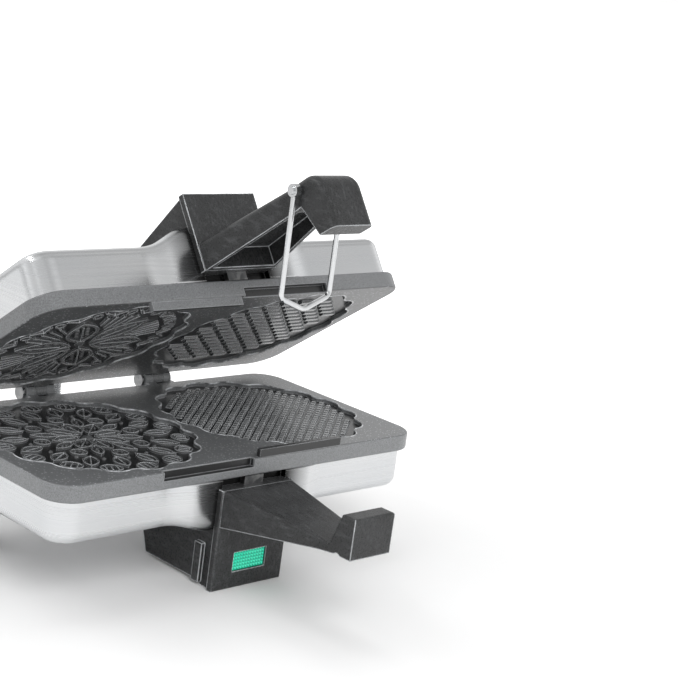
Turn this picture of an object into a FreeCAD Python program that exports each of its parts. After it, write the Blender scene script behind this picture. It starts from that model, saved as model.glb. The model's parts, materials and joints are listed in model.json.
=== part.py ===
import FreeCAD
import Part
import Sketcher
import math
import os
import re

# Electric wafer iron: two hinged baking plates in steel shells, with black guards,
# forward handles and a wire latch. Millimetres, +Z up, -Y to the front.
# The origin is the centre of the flat face of the front foot, on the table.

doc = FreeCAD.newDocument("wafer_iron")
sheet = doc.addObject("Spreadsheet::Sheet", "Sizes")

DRIVING_SIZES = {
    "plate_width": 270,
    "plate_depth": 142,
    "plate_height": 10,
    "plate_corner": 17,
    "plate_edge": 1.2,
    "plate_web": 6,
    "plate_rim": 6,
    "cavity_side_margin": 7,
    "cavity_end_margin": 10.5,
    "cavity_depth": 2.4,
    "cavity_inward": 2.1,
    "scallop_radius": 13,
    "scallop_inset": 9.5,
    "scallop_count": 16,
    "mating_height": 75,
    "mating_gap": 0.6,
    "rib_length": 64,
    "rib_width": 3,
    "rib_height": 5,
    "rib_start": 2,
    "rib_play": 0.5,
    "shell_inset": 4,
    "shell_height": 25,
    "shell_wall": 1,
    "shell_corner": 14,
    "shell_edge": 6,
    "bulge_width": 15,
    "bulge_slope": 9,
    "guard_lead": 4,
    "guard_half": 26.5,
    "guard_core_half": 24,
    "guard_flange": 4,
    "guard_drop": 15,
    "guard_rise": 61,
    "guard_reach": 62,
    "guard_slope": 14,
    "guard_wall": 4,
    "guard_edge": 1,
    "guard_rib_place": 12,
    "guard_rib_width": 6,
    "guard_rib_height": 23,
    "foot_flat": 13,
    "foot_step": 2,
    "window_width": 24.4,
    "window_height": 11.5,
    "window_sill": 10,
    "lens_lip": 1.5,
    "lens_recess": 0.6,
    "lamp_radius": 3,
    "lamp_length": 17,
    "lamp_setback": 1,
    "holder_depth": 8,
    "handle_length": 90,
    "nose_extra": 2,
    "handle_root_half": 26,
    "handle_tip_half": 15,
    "tip_straight": 25,
    "lower_root_height": 21,
    "upper_root_height": 17,
    "notch_drop": 6,
    "notch_length": 17,
    "lip_length": 10,
    "lip_gap": 2.5,
    "lower_tip_height": 25,
    "upper_tip_height": 35,
    "handle_wall": 3,
    "handle_roof": 5,
    "hollow_stop": 23,
    "catch_depth": 1.2,
    "catch_width": 5,
    "nose_radius": 11,
    "handle_crown": 4,
    "handle_edge": 1.2,
    "hinge_back": 9,
    "hinge_spread": 45,
    "lug_radius": 6,
    "lug_width": 6,
    "tongue_width": 7.4,
    "lug_play": 0.3,
    "pin_radius": 3,
    "running_play": 0.05,
    "pin_head_radius": 4.4,
    "pin_head_height": 1.6,
    "lid_angle": 35,
    "pivot_setback": 17,
    "pivot_height": 30,
    "pivot_radius": 2,
    "wire_radius": 1.5,
    "bail_half": 18,
    "bail_leg": 58.5,
    "bail_vee": 7,
    "bail_bend": 3,
    "eye_radius": 3.6,
    "eye_width": 3.6,
    "heater_radius": 3.2,
    "heater_bend": 40,
    "heater_half": 62,
    "seat_gap": 0.1,
    "clamp_width": 30,
    "clamp_half": 54,
    "clamp_thickness": 2,
    "reflector_half": 105,
    "reflector_depth_half": 52,
    "reflector_thickness": 0.8,
    "screw_radius": 2,
    "screw_head_radius": 3.8,
    "screw_head_height": 2.2,
    "clamp_screw_spread": 48,
    "thermostat_radius": 12,
    "thermostat_height": 8,
    "fuse_radius": 2.4,
    "fuse_length": 24,
    "terminal_length": 42,
    "terminal_depth": 18,
    "terminal_height": 12,
    "terminal_place": 62,
    "foot_side": 27,
    "foot_inset": 26,
    "foot_top_radius": 14,
    "foot_base_radius": 10,
    "bracket_half": 7,
    "bracket_depth": 3.5,
    "shell_screw_spread": 88,
    "conduit_radius": 3.5,
    "conduit_place": 14,
    "conduit_drop": 20,
    "conduit_back": 22,
    "bush_radius": 6,
    "bush_flange": 2,
    "gland_radius": 7,
    "gland_length": 7,
    "gland_place": 70,
}


def fill_sheet():
    for row, (name, value) in enumerate(DRIVING_SIZES.items(), start=1):
        sheet.set(f"A{row}", name.replace("_", " "))
        sheet.set(f"B{row}", str(value))
        sheet.setAlias(f"B{row}", name)
    doc.recompute()


def bound(text):
    """The expression text with every size name pointing at its cell."""

    def cell(match):
        word = match.group(0)
        return f"Sizes.{word}" if word in DRIVING_SIZES else word

    return re.sub(r"[a-z_]+", cell, text)


def number(text):
    return float(sheet.evalExpression(bound(text)))


def bind(obj, prop, text):
    obj.setExpression(prop, bound(text))


fill_sheet()

# Lines of the design, as expressions of the sheet.
FACE = "(-foot_flat / 2)"
FRONT = f"({FACE} + guard_lead)"
MIDDLE = f"({FRONT} + plate_depth / 2)"
BACK = f"({FRONT} + plate_depth)"
HINGE_Y = f"({BACK} + hinge_back)"
SHELL_FRONT = f"({FRONT} + shell_inset)"
SHELL_BACK = f"({BACK} - shell_inset)"
SHELL_HALF = "(plate_width / 2 - shell_inset)"
CAVITY_X = "(plate_width / 4 - cavity_inward)"
CAVITY_RADIUS = "min(plate_width / 4 - cavity_side_margin; plate_depth / 2 - cavity_end_margin)"
FOOT_TOP = "(mating_height - mating_gap / 2 - plate_height - shell_height)"
TIP = f"({FACE} - handle_length)"
LIP_BACK = f"({TIP} + lip_length)"
NOSE = f"({TIP} - nose_extra)"
PIVOT_Y = f"({NOSE} + pivot_setback)"
LOWER = -1
UPPER = 1
TOUCHING = 0.01


def level(side, offset):
    """Height of a plane that lies an offset away from the mating face of one half."""
    sign = "+" if side == UPPER else "-"
    return f"(mating_height {sign} (mating_gap / 2 + {offset}))"


def base_of(side, near, far):
    """The lower of two planes of one half, where an upward pad starts."""
    return level(side, near) if side == UPPER else level(side, far)


def turned(dy, dz):
    """World place of a lid point, given from the hinge axis with the lid shut."""
    y = f"({HINGE_Y} + ({dy}) * cos(lid_angle) + ({dz}) * sin(lid_angle))"
    z = f"(mating_height - ({dy}) * sin(lid_angle) + ({dz}) * cos(lid_angle))"
    return y, z


PIVOT_WORLD = turned(f"{PIVOT_Y} - {HINGE_Y}", "pivot_height")


def open_with_lid(obj):
    """Turns a piece that is drawn with the lid shut to where the lid stands open."""
    centre = f"vector(0; {HINGE_Y}; mating_height)"
    turn = "rotation(vector(1; 0; 0); -lid_angle)"
    bind(obj, "Placement", f"placement(vector(0; 0; 0); {turn}; {centre})")


# Sketches and features of a body


def new_body(label):
    body = doc.addObject("PartDesign::Body", label)
    body.Label = label
    return body


def new_sketch(body, role, offsets=()):
    sketch = body.newObject("Sketcher::SketchObject", f"{body.Name}_sketch")
    plane = next(f for f in body.Origin.OriginFeatures if f.Role == role)
    sketch.AttachmentSupport = [(plane, "")]
    sketch.MapMode = "FlatFace"
    for axis, text in offsets:
        bind(sketch, f"AttachmentOffset.Base.{axis}", text)
    return sketch


def hold(sketch, kind, index, end, text):
    rule = sketch.addConstraint(Sketcher.Constraint(kind, -1, 1, index, end, number(text)))
    bind(sketch, f"Constraints[{rule}]", text)


def outline(body, role, points, offsets=()):
    """A closed outline whose corners are expressions of the sheet."""
    sketch = new_sketch(body, role, offsets)
    corners = [FreeCAD.Vector(number(x), number(y), 0) for x, y in points]
    count = len(points)
    for index in range(count):
        line = Part.LineSegment(corners[index], corners[(index + 1) % count])
        sketch.addGeometry(line, False)
    for index in range(count):
        follower = (index + 1) % count
        sketch.addConstraint(Sketcher.Constraint("Coincident", index, 2, follower, 1))
        hold(sketch, "DistanceX", index, 1, points[index][0])
        hold(sketch, "DistanceY", index, 1, points[index][1])
    return sketch


def disc(body, role, centre, radius, offsets=()):
    sketch = new_sketch(body, role, offsets)
    middle = FreeCAD.Vector(number(centre[0]), number(centre[1]), 0)
    sketch.addGeometry(Part.Circle(middle, FreeCAD.Vector(0, 0, 1), number(radius)), False)
    hold(sketch, "DistanceX", 0, 3, centre[0])
    hold(sketch, "DistanceY", 0, 3, centre[1])
    rule = sketch.addConstraint(Sketcher.Constraint("Radius", 0, number(radius)))
    bind(sketch, f"Constraints[{rule}]", radius)
    return sketch


def frame_points(left, right, front, back):
    return [(left, front), (right, front), (right, back), (left, back)]


def pad(body, sketch, length, both_ways=False):
    feature = body.newObject("PartDesign::Pad", f"{body.Name}_pad")
    feature.Profile = sketch
    bind(feature, "Length", length)
    if both_ways:
        feature.SideType = "Symmetric"
    doc.recompute()
    return feature


def pocket(body, sketch, length, reverse=False, both_ways=False):
    before = body.Tip.Shape.Volume
    feature = body.newObject("PartDesign::Pocket", f"{body.Name}_pocket")
    feature.Profile = sketch
    bind(feature, "Length", length)
    feature.Reversed = reverse
    if both_ways:
        feature.SideType = "Symmetric"
    doc.recompute()
    if feature.Shape.Volume >= before:
        raise RuntimeError(f"{body.Label}: a pocket cuts nothing")
    return feature


def fillet(body, radius, chosen):
    """Rounds the edges of the body's last feature that the test chooses."""
    base = body.Tip
    names = [f"Edge{i}" for i, edge in enumerate(base.Shape.Edges, start=1) if chosen(edge)]
    feature = body.newObject("PartDesign::Fillet", f"{body.Name}_fillet")
    feature.Base = (base, names)
    bind(feature, "Radius", radius)
    doc.recompute()
    return feature


def hollow_out(body, wall, height):
    """Leaves a wall round the body's last feature, open at the flat face at a height."""
    base = body.Tip
    open_faces = [
        f"Face{i}"
        for i, face in enumerate(base.Shape.Faces, start=1)
        if abs(face.CenterOfMass.z - height) < TOUCHING and abs(face.normalAt(0, 0).z) > 0.99
    ]
    feature = body.newObject("PartDesign::Thickness", f"{body.Name}_hollow")
    feature.Base = (base, open_faces)
    bind(feature, "Value", wall)
    feature.Reversed = True
    doc.recompute()
    return feature


def runs_along(edge, axis, tolerance=1e-6):
    if not isinstance(edge.Curve, Part.Line):
        return False
    direction = edge.Curve.Direction
    return abs(abs(direction.dot(axis)) - 1) < tolerance


X_AXIS = FreeCAD.Vector(1, 0, 0)
Z_AXIS = FreeCAD.Vector(0, 0, 1)


# Primitives


def box(name, low, high):
    """A block between two corners given as expressions."""
    block = doc.addObject("Part::Box", name)
    for prop, axis in (("Length", 0), ("Width", 1), ("Height", 2)):
        bind(block, prop, f"({high[axis]}) - ({low[axis]})")
    for axis, letter in enumerate("xyz"):
        bind(block, f"Placement.Base.{letter}", low[axis])
    return block


TURNS = {
    "z": FreeCAD.Rotation(0, 0, 0),
    "-z": FreeCAD.Rotation(FreeCAD.Vector(1, 0, 0), 180),
    "x": FreeCAD.Rotation(FreeCAD.Vector(0, 1, 0), 90),
    "y": FreeCAD.Rotation(FreeCAD.Vector(1, 0, 0), -90),
    "-y": FreeCAD.Rotation(FreeCAD.Vector(1, 0, 0), 90),
}


def rod(name, foot, along, radius, length):
    """A cylinder that starts at a point and runs along an axis."""
    cylinder = doc.addObject("Part::Cylinder", name)
    bind(cylinder, "Radius", radius)
    bind(cylinder, "Height", length)
    cylinder.Placement.Rotation = TURNS[along]
    for axis, letter in enumerate("xyz"):
        bind(cylinder, f"Placement.Base.{letter}", foot[axis])
    return cylinder


def fuse(name, pieces):
    joined = doc.addObject("Part::MultiFuse", name)
    joined.Shapes = pieces
    return joined


def cut(name, base, tool):
    rest = doc.addObject("Part::Cut", name)
    rest.Base = base
    rest.Tool = tool
    return rest


def group(name, pieces):
    together = doc.addObject("Part::Compound", name)
    together.Links = pieces
    return together


def screw(name, head_foot, along, grip):
    """A pan head and its shank; the head's outer face is at the given point."""
    head = rod(f"{name}_head", head_foot, along, "screw_head_radius", "screw_head_height")
    shank = rod(f"{name}_shank", head_foot, along, "screw_radius", f"screw_head_height + {grip}")
    return fuse(name, [head, shank])


# Baking plates


def baking_plate(label, side):
    """Cast plate: skirted slab, two scalloped cavities, hinge lugs, front rib and groove."""
    body = new_body(label)
    half = "plate_width / 2"
    slab = outline(
        body,
        "XY_Plane",
        frame_points(f"-{half}", half, FRONT, BACK),
        [("z", base_of(side, "0", "plate_height"))],
    )
    pad(body, slab, "plate_height")
    fillet(body, "plate_corner", lambda edge: runs_along(edge, Z_AXIS))
    fillet(body, "plate_edge", lambda edge: not runs_along(edge, Z_AXIS))
    hollow = outline(
        body,
        "XY_Plane",
        frame_points(
            f"-{half} + plate_rim",
            f"{half} - plate_rim",
            f"{FRONT} + plate_rim",
            f"{BACK} - plate_rim",
        ),
        [("z", level(side, "plate_height"))],
    )
    pocket(body, hollow, "plate_height - plate_web", reverse=side == LOWER)
    for hand in ("-", ""):
        cavity(body, side, f"{hand}{CAVITY_X}")
    front_rib_and_groove(body, side)
    hinge_lugs(body, side)
    if side == UPPER:
        open_with_lid(body)
    return body


def cavity(body, side, middle):
    """A shallow round baking cavity with a scalloped rim."""
    place = [("x", middle), ("y", MIDDLE), ("z", level(side, "0"))]
    floor = disc(body, "XY_Plane", ("0", "0"), CAVITY_RADIUS, place)
    pocket(body, floor, "cavity_depth", reverse=side == UPPER)
    ring_radius = f"{CAVITY_RADIUS} - scallop_inset"
    lobe = disc(body, "XY_Plane", (ring_radius, "0"), "scallop_radius", place)
    first = pocket(body, lobe, "cavity_depth", reverse=side == UPPER)
    ring = body.newObject("PartDesign::PolarPattern", f"{body.Name}_ring")
    ring.Originals = [first]
    ring.Axis = (lobe, ["N_Axis"])
    ring.Angle = 360
    bind(ring, "Occurrences", "scallop_count")
    body.Tip = ring
    doc.recompute()


def front_rib_and_groove(body, side):
    """A rib on one half of the front edge keys into a groove on the other plate."""
    hand = "" if side == LOWER else "-"
    other = "-" if side == LOWER else ""
    rib = outline(
        body,
        "XY_Plane",
        frame_points(
            f"{hand}rib_start",
            f"{hand}(rib_start + rib_length)",
            FRONT,
            f"{FRONT} + rib_width",
        ),
        [("z", base_of(side, "-rib_height", "0"))],
    )
    pad(body, rib, "rib_height")
    groove = outline(
        body,
        "XY_Plane",
        frame_points(
            f"{other}(rib_start - rib_play)",
            f"{other}(rib_start + rib_length + rib_play)",
            f"{FRONT} - rib_play",
            f"{FRONT} + rib_width + rib_play",
        ),
        [("z", level(side, "0"))],
    )
    depth = "rib_height + rib_play - mating_gap"
    pocket(body, groove, depth, reverse=side == UPPER)


def lug_spans(side):
    """Where the lugs of one half lie along the hinge: a fork below, a tongue above."""
    inner = "(tongue_width / 2 + lug_play)"
    spans = []
    for hand in ("-", ""):
        middle = f"{hand}hinge_spread"
        if side == UPPER:
            spans.append((f"{middle} - tongue_width / 2", "tongue_width"))
        else:
            spans.append((f"{middle} - {inner} - lug_width", "lug_width"))
            spans.append((f"{middle} + {inner}", "lug_width"))
    return spans


def hinge_lugs(body, side):
    """Lugs behind the plate, with a neck on the plate's own side of the mating face."""
    for start, width in lug_spans(side):
        place = [("z", start)]
        neck = outline(
            body,
            "YZ_Plane",
            frame_points(
                f"{BACK} - plate_rim / 2",
                HINGE_Y,
                level(side, "0"),
                level(side, "lug_radius - mating_gap / 2"),
            ),
            place,
        )
        pad(body, neck, width)
        pad(body, disc(body, "YZ_Plane", (HINGE_Y, "mating_height"), "lug_radius", place), width)
    bore = disc(body, "YZ_Plane", (HINGE_Y, "mating_height"), "pin_radius + running_play")
    pocket(body, bore, "plate_width", both_ways=True)


# Steel shells


def bulge_outline(hand):
    """Plan of the swelling of the front wall on one side of the guard."""
    slot = f"{hand}guard_core_half"
    far = f"{hand}(guard_core_half + bulge_width)"
    foot = f"{hand}(guard_core_half + bulge_width + bulge_slope)"
    swollen = f"{FACE} + guard_flange"
    root = f"{SHELL_FRONT} + shell_wall / 2"
    return [(slot, swollen), (far, swollen), (foot, SHELL_FRONT), (foot, root), (slot, root)]


def steel_shell(label, side):
    """Drawn pan with rounded corners and a rounded edge, open towards the plate."""
    body = new_body(label)
    near = "plate_height"
    far = "plate_height + shell_height"
    place = [("z", base_of(side, near, far))]
    plan = frame_points(f"-{SHELL_HALF}", SHELL_HALF, SHELL_FRONT, SHELL_BACK)
    pad(body, outline(body, "XY_Plane", plan, place), "shell_height")
    fillet(body, "shell_corner", lambda edge: runs_along(edge, Z_AXIS))
    floor_height = number(level(side, far))
    fillet(body, "shell_edge", lambda edge: abs(edge.CenterOfMass.z - floor_height) < TOUCHING)
    hollow_out(body, "shell_wall", number(level(side, near)))
    for hand in ("-", ""):
        swelling = outline(body, "XY_Plane", bulge_outline(hand), [("z", base_of(side, near, BULGE_FAR))])
        pad(body, swelling, f"{BULGE_FAR} - {near}")
    for radius, spot in shell_ports(side):
        height = level(side, f"plate_height + {spot[1]}")
        port = disc(body, "XZ_Plane", (spot[0], height), radius, [("z", f"-{SHELL_BACK}")])
        pocket(body, port, "shell_wall * 4", both_ways=True)
    if side == UPPER:
        open_with_lid(body)
    return body


BULGE_FAR = "(plate_height + shell_height - shell_edge)"


PORT_HEIGHT = "(conduit_drop - plate_height)"


def shell_ports(side):
    """Holes in the back wall: the conduit's on both halves, the cord's on the lower one."""
    ports = [("conduit_radius + bush_flange / 2", ("-conduit_place", PORT_HEIGHT))]
    if side == LOWER:
        ports.append(("gland_radius - bush_flange", ("gland_place", PORT_HEIGHT)))
    return ports


# Black guards and handles


def lower_guard():
    """Housing at the front: faces the cook, carries the handle and stands on the table."""
    body = new_body("lower_guard")
    top = "mating_height - guard_drop"
    profile = [
        (FACE, "0"),
        (f"{FACE} + foot_flat", "0"),
        (f"{FACE} + foot_flat", "foot_step"),
        (f"{FACE} + guard_reach", "foot_step"),
        (f"{FACE} + guard_reach + guard_slope", FOOT_TOP),
        (SHELL_FRONT, FOOT_TOP),
        (SHELL_FRONT, top),
        (FACE, top),
    ]
    pad(body, outline(body, "YZ_Plane", profile), "guard_core_half * 2", both_ways=True)
    flange = frame_points("-guard_half", "guard_half", "0", top)
    pad(body, outline(body, "XZ_Plane", flange, [("z", f"-{FACE} - guard_flange")]), "guard_flange")
    rib_front = f"{FACE} + guard_rib_place"
    rib_top = "foot_step + guard_rib_height"
    rib = frame_points(rib_front, f"{rib_front} + guard_rib_width", "foot_step", rib_top)
    pad(body, outline(body, "YZ_Plane", rib), "guard_half * 2", both_ways=True)
    front = number(FACE)

    def on_face(edge):
        span = edge.BoundBox
        return abs(span.YMin - front) < TOUCHING and abs(span.YMax - front) < TOUCHING

    fillet(body, "guard_edge", on_face)
    room = frame_points(
        "-guard_core_half + guard_wall",
        "guard_core_half - guard_wall",
        f"{FACE} + guard_flange",
        f"{FACE} + guard_reach - guard_wall",
    )
    depth = f"{FOOT_TOP} - foot_step - guard_wall"
    pocket(body, outline(body, "XY_Plane", room, [("z", FOOT_TOP)]), depth)
    window = frame_points(
        "-window_width / 2", "window_width / 2", "window_sill", "window_sill + window_height"
    )
    opening = outline(body, "XZ_Plane", window, [("z", f"-{FACE} - guard_flange")])
    pocket(body, opening, "guard_flange", reverse=True)
    return body


def upper_guard():
    """Wedge over the lid's front, with the face that carries the upper handle."""
    body = new_body("upper_guard")
    bottom = "mating_height + guard_drop"
    top = "mating_height + guard_rise"
    shell_top = level(UPPER, "plate_height + shell_height")
    profile = [
        (FACE, bottom),
        (SHELL_FRONT, bottom),
        (SHELL_FRONT, shell_top),
        (f"{FACE} + guard_reach + guard_slope", shell_top),
        (f"{FACE} + guard_reach", f"{top} - guard_slope"),
        (f"{FACE} + guard_flange", top),
        (FACE, top),
    ]
    pad(body, outline(body, "YZ_Plane", profile), "guard_core_half * 2", both_ways=True)
    flange = frame_points("-guard_half", "guard_half", bottom, top)
    pad(body, outline(body, "XZ_Plane", flange, [("z", f"-{FACE} - guard_flange")]), "guard_flange")
    room = frame_points(
        "-guard_core_half + guard_wall",
        "guard_core_half - guard_wall",
        f"{SHELL_FRONT} + guard_wall",
        f"{FACE} + guard_reach - guard_wall",
    )
    depth = f"{top} - guard_slope - guard_wall - {shell_top}"
    pocket(body, outline(body, "XY_Plane", room, [("z", shell_top)]), depth, reverse=True)
    open_with_lid(body)
    return body


def handle_profile(side, tip, root_height, tip_height):
    """Side view of a handle: thick root, finger hollow, and a lip that meets the other tip."""
    root_near = level(side, "guard_drop - mating_gap / 2")
    root_far = level(side, f"guard_drop + {root_height}")
    notch = level(side, "guard_drop + notch_drop")
    lip = level(side, "lip_gap - mating_gap / 2")
    end = level(side, tip_height)
    points = [
        (FACE, root_near),
        (f"{TIP} + notch_length", notch),
        (LIP_BACK, lip),
        (tip, lip),
        (tip, end),
    ]
    if side == LOWER:
        catch = level(side, f"{tip_height} - catch_depth")
        points.append((f"{LIP_BACK} - catch_width / 2", end))
        points.append((LIP_BACK, catch))
        points.append((f"{LIP_BACK} + catch_width / 2", end))
    points.append((FACE, root_far))
    return points


def handle(label, side, tip, root_height, tip_height):
    """Moulded handle that narrows towards its tip and is hollow on the underside."""
    body = new_body(label)
    profile = outline(body, "YZ_Plane", handle_profile(side, tip, root_height, tip_height))
    pad(body, profile, "handle_root_half * 2", both_ways=True)
    if side == UPPER:
        nose = number(tip)
        crown = number(level(side, tip_height))

        def is_nose(edge):
            centre = edge.CenterOfMass
            return abs(centre.y - nose) < TOUCHING and abs(centre.z - crown) < TOUCHING

        fillet(body, "nose_radius", is_nose)
    taper_end = f"{TIP} + tip_straight"
    beyond = f"{tip} - handle_wall"
    outside = "handle_root_half + handle_wall"
    high = "mating_height * 2"
    for hand in ("-", ""):
        flank = [
            (f"{hand}handle_root_half", FACE),
            (f"{hand}handle_tip_half", taper_end),
            (f"{hand}handle_tip_half", beyond),
            (f"{hand}({outside})", beyond),
            (f"{hand}({outside})", FACE),
        ]
        pocket(body, outline(body, "XY_Plane", flank, [("z", high)]), high)
    if side == UPPER:
        round_crown(body)
    else:
        round_flanks(body)
    hollow = [
        ("-handle_root_half + handle_wall", f"{FACE} - handle_wall"),
        ("handle_root_half - handle_wall", f"{FACE} - handle_wall"),
        ("handle_tip_half - handle_wall", taper_end),
        ("handle_tip_half - handle_wall", f"{TIP} + hollow_stop"),
        ("-handle_tip_half + handle_wall", f"{TIP} + hollow_stop"),
        ("-handle_tip_half + handle_wall", taper_end),
    ]
    if side == LOWER:
        roof = level(side, "guard_drop + notch_drop + handle_roof")
        pocket(body, outline(body, "XY_Plane", hollow), roof, reverse=True)
    else:
        start = [("z", "mating_height")]
        roof = f"guard_drop + {root_height} - handle_roof"
        pocket(body, outline(body, "XY_Plane", hollow, start), roof, reverse=True)
        bore = disc(
            body,
            "YZ_Plane",
            (PIVOT_Y, "mating_height + pivot_height"),
            "pivot_radius + running_play",
        )
        pocket(body, bore, "plate_width", both_ways=True)
        open_with_lid(body)
    return body


def round_crown(body):
    """Rounds the long edges of the upper handle's back and of its nose."""
    back = [f for f in body.Tip.Shape.Faces if f.normalAt(0, 0).z > 0.5]
    nose = [f for f in body.Tip.Shape.Faces if isinstance(f.Surface, Part.Cylinder)]
    long_edges = [e for f in back + nose for e in f.Edges if not runs_along(e, X_AXIS)]

    def on_crown(edge):
        return any(edge.isSame(other) for other in long_edges)

    fillet(body, "handle_crown", on_crown)


def round_flanks(body):
    """Takes the sharpness off the lower handle's top and end edges."""
    bottom = number(level(LOWER, "lower_tip_height - catch_depth"))
    root = number(FACE)

    def on_top(edge):
        centre = edge.CenterOfMass
        away = centre.y < root - TOUCHING
        return away and centre.z > bottom and not runs_along(edge, Z_AXIS)

    fillet(body, "handle_edge", on_top)


# Latch


def rounded_path(points, setback):
    """A line through the points, with a tangent arc that starts a setback before each corner."""
    edges = []
    here = points[0]
    for corner, after in zip(points[1:-1], points[2:]):
        in_way = (here - corner).normalize()
        out_way = (after - corner).normalize()
        radius = setback * math.tan(in_way.getAngle(out_way) / 2)
        to_centre = math.hypot(setback, radius)
        arc_start = corner + in_way * setback
        arc_middle = corner + (in_way + out_way).normalize() * (to_centre - radius)
        arc_end = corner + out_way * setback
        edges.append(Part.LineSegment(here, arc_start).toShape())
        edges.append(Part.Arc(arc_start, arc_middle, arc_end).toShape())
        here = arc_end
    edges.append(Part.LineSegment(here, points[-1]).toShape())
    return Part.Wire(edges)


def bent_rod(name, points, radius, setback):
    """A round rod along a rounded path."""
    ring = Part.Wire([Part.Circle(points[0], points[0] - points[1], radius).toShape()])
    piece = doc.addObject("Part::Feature", name)
    piece.Shape = rounded_path(points, setback).makePipeShell([ring], True, False)
    return piece


def latch_bail():
    """Wire loop with an eye on each end of the pivot pin and a shallow vee at the bottom."""
    half = number("bail_half")
    leg = number("bail_leg")
    line = [
        FreeCAD.Vector(-half, 0, 0),
        FreeCAD.Vector(-half, 0, -leg),
        FreeCAD.Vector(0, 0, -leg - number("bail_vee")),
        FreeCAD.Vector(half, 0, -leg),
        FreeCAD.Vector(half, 0, 0),
    ]
    pieces = [bent_rod("bail_line", line, number("wire_radius"), number("bail_bend"))]
    for hand in ("-", ""):
        eye_foot = (f"{hand}bail_half - eye_width / 2", "0", "0")
        pieces.append(rod(f"bail_eye{hand or '+'}", eye_foot, "x", "eye_radius", "eye_width"))
    hole_foot = ("-bail_half - eye_width", "0", "0")
    hole = rod("bail_hole", hole_foot, "x", "pivot_radius + running_play", "(bail_half + eye_width) * 2")
    bail = cut("latch_bail", fuse("bail_wire", pieces), hole)
    bind(bail, "Placement.Base.y", PIVOT_WORLD[0])
    bind(bail, "Placement.Base.z", PIVOT_WORLD[1])
    return bail


def latch_pivot():
    """Pin through the upper handle's tip that carries the bail."""
    reach = "(bail_half + eye_width / 2 + pivot_radius / 2)"
    return rod("latch_pivot_pin", (f"-{reach}", *PIVOT_WORLD), "x", "pivot_radius", f"{reach} * 2")


# Hinge


def hinge_pins():
    pins = []
    span = "(tongue_width / 2 + lug_play + lug_width)"
    for hand in ("-", ""):
        name = f"hinge_pin{hand or '+'}"
        start = f"{hand}hinge_spread - {span} - lug_play - pin_head_height"
        long = f"{span} * 2 + lug_play * 2 + pin_head_height"
        shank = rod(f"{name}_shank", (start, HINGE_Y, "mating_height"), "x", "pin_radius", long)
        head = rod(
            f"{name}_head",
            (start, HINGE_Y, "mating_height"),
            "x",
            "pin_head_radius",
            "pin_head_height",
        )
        pins.append(fuse(name, [shank, head]))
    return group("hinge_pins", pins)


# Heating


def heater(label, side):
    """Tubular element bent to a long loop, lying against the plate's back."""
    depth = "plate_web + seat_gap + heater_radius"
    height = level(side, depth)
    pieces = []
    for hand, turn in (("-", 90), ("", -90)):
        bend = doc.addObject("Part::Torus", f"{label}_bend{hand or '+'}")
        bind(bend, "Radius1", "heater_bend")
        bind(bend, "Radius2", "heater_radius")
        bend.Angle3 = 180
        bend.Placement.Rotation = FreeCAD.Rotation(Z_AXIS, turn)
        bind(bend, "Placement.Base.x", f"{hand}heater_half")
        bind(bend, "Placement.Base.y", MIDDLE)
        bind(bend, "Placement.Base.z", height)
        pieces.append(bend)
        foot = ("-heater_half", f"{MIDDLE} {hand or '+'} heater_bend", height)
        run = rod(f"{label}_run{hand or '+'}", foot, "x", "heater_radius", "heater_half * 2")
        pieces.append(run)
    loop = fuse(label, pieces)
    if side == UPPER:
        open_with_lid(loop)
    return loop


CLAMP_NEAR = "(plate_web + seat_gap * 2 + heater_radius * 2)"
CLAMP_FAR = f"({CLAMP_NEAR} + clamp_thickness)"
REFLECTOR_FAR = f"({CLAMP_FAR} + reflector_thickness)"


def slab(label, side, half_x, half_y, near, far, holes):
    """A flat strip or sheet across one half, with screw holes."""
    low = (f"-{half_x}", f"{MIDDLE} - {half_y}", base_of(side, near, far))
    high = (half_x, f"{MIDDLE} + {half_y}", f"{low[2]} + ({far}) - ({near})")
    sheet_metal = box(f"{label}_blank", low, high)
    tools = []
    for hand in holes:
        foot = ("0", f"{MIDDLE} {hand} clamp_screw_spread", f"{low[2]} - clamp_thickness")
        length = "clamp_thickness * 4"
        tools.append(rod(f"{label}_hole{hand}", foot, "z", "screw_radius + seat_gap", length))
    piece = cut(label, sheet_metal, fuse(f"{label}_holes", tools))
    if side == UPPER:
        open_with_lid(piece)
    return piece


def clamp_screws(label, side):
    """Two screws that hold the reflector and the clamp against the plate's back."""
    along = "-z" if side == UPPER else "z"
    far = level(side, f"{REFLECTOR_FAR} + screw_head_height")
    grip = f"{REFLECTOR_FAR} - plate_web"
    screws = []
    for hand in ("-", "+"):
        foot = ("0", f"{MIDDLE} {hand} clamp_screw_spread", far)
        screws.append(screw(f"{label}{hand}", foot, along, grip))
    pair = group(label, screws)
    if side == UPPER:
        open_with_lid(pair)
    return pair


def thermostat():
    foot = (f"-{CAVITY_X}", MIDDLE, level(LOWER, "plate_web"))
    return rod("thermostat", foot, "-z", "thermostat_radius", "thermostat_height")


def thermal_fuse():
    height = level(LOWER, "plate_web + seat_gap + fuse_radius")
    foot = (f"{CAVITY_X} - fuse_length / 2", MIDDLE, height)
    return rod("thermal_fuse", foot, "x", "fuse_radius", "fuse_length")


def terminal_block():
    floor = f"({FOOT_TOP} + shell_wall)"
    low = ("terminal_place - terminal_length / 2", f"{MIDDLE} - terminal_depth / 2", floor)
    high = (
        "terminal_place + terminal_length / 2",
        f"{MIDDLE} + terminal_depth / 2",
        f"{floor} + terminal_height",
    )
    return box("terminal_block", low, high)


# Indicator


LENS_BACK = f"({FACE} + guard_flange + lens_lip)"


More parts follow.
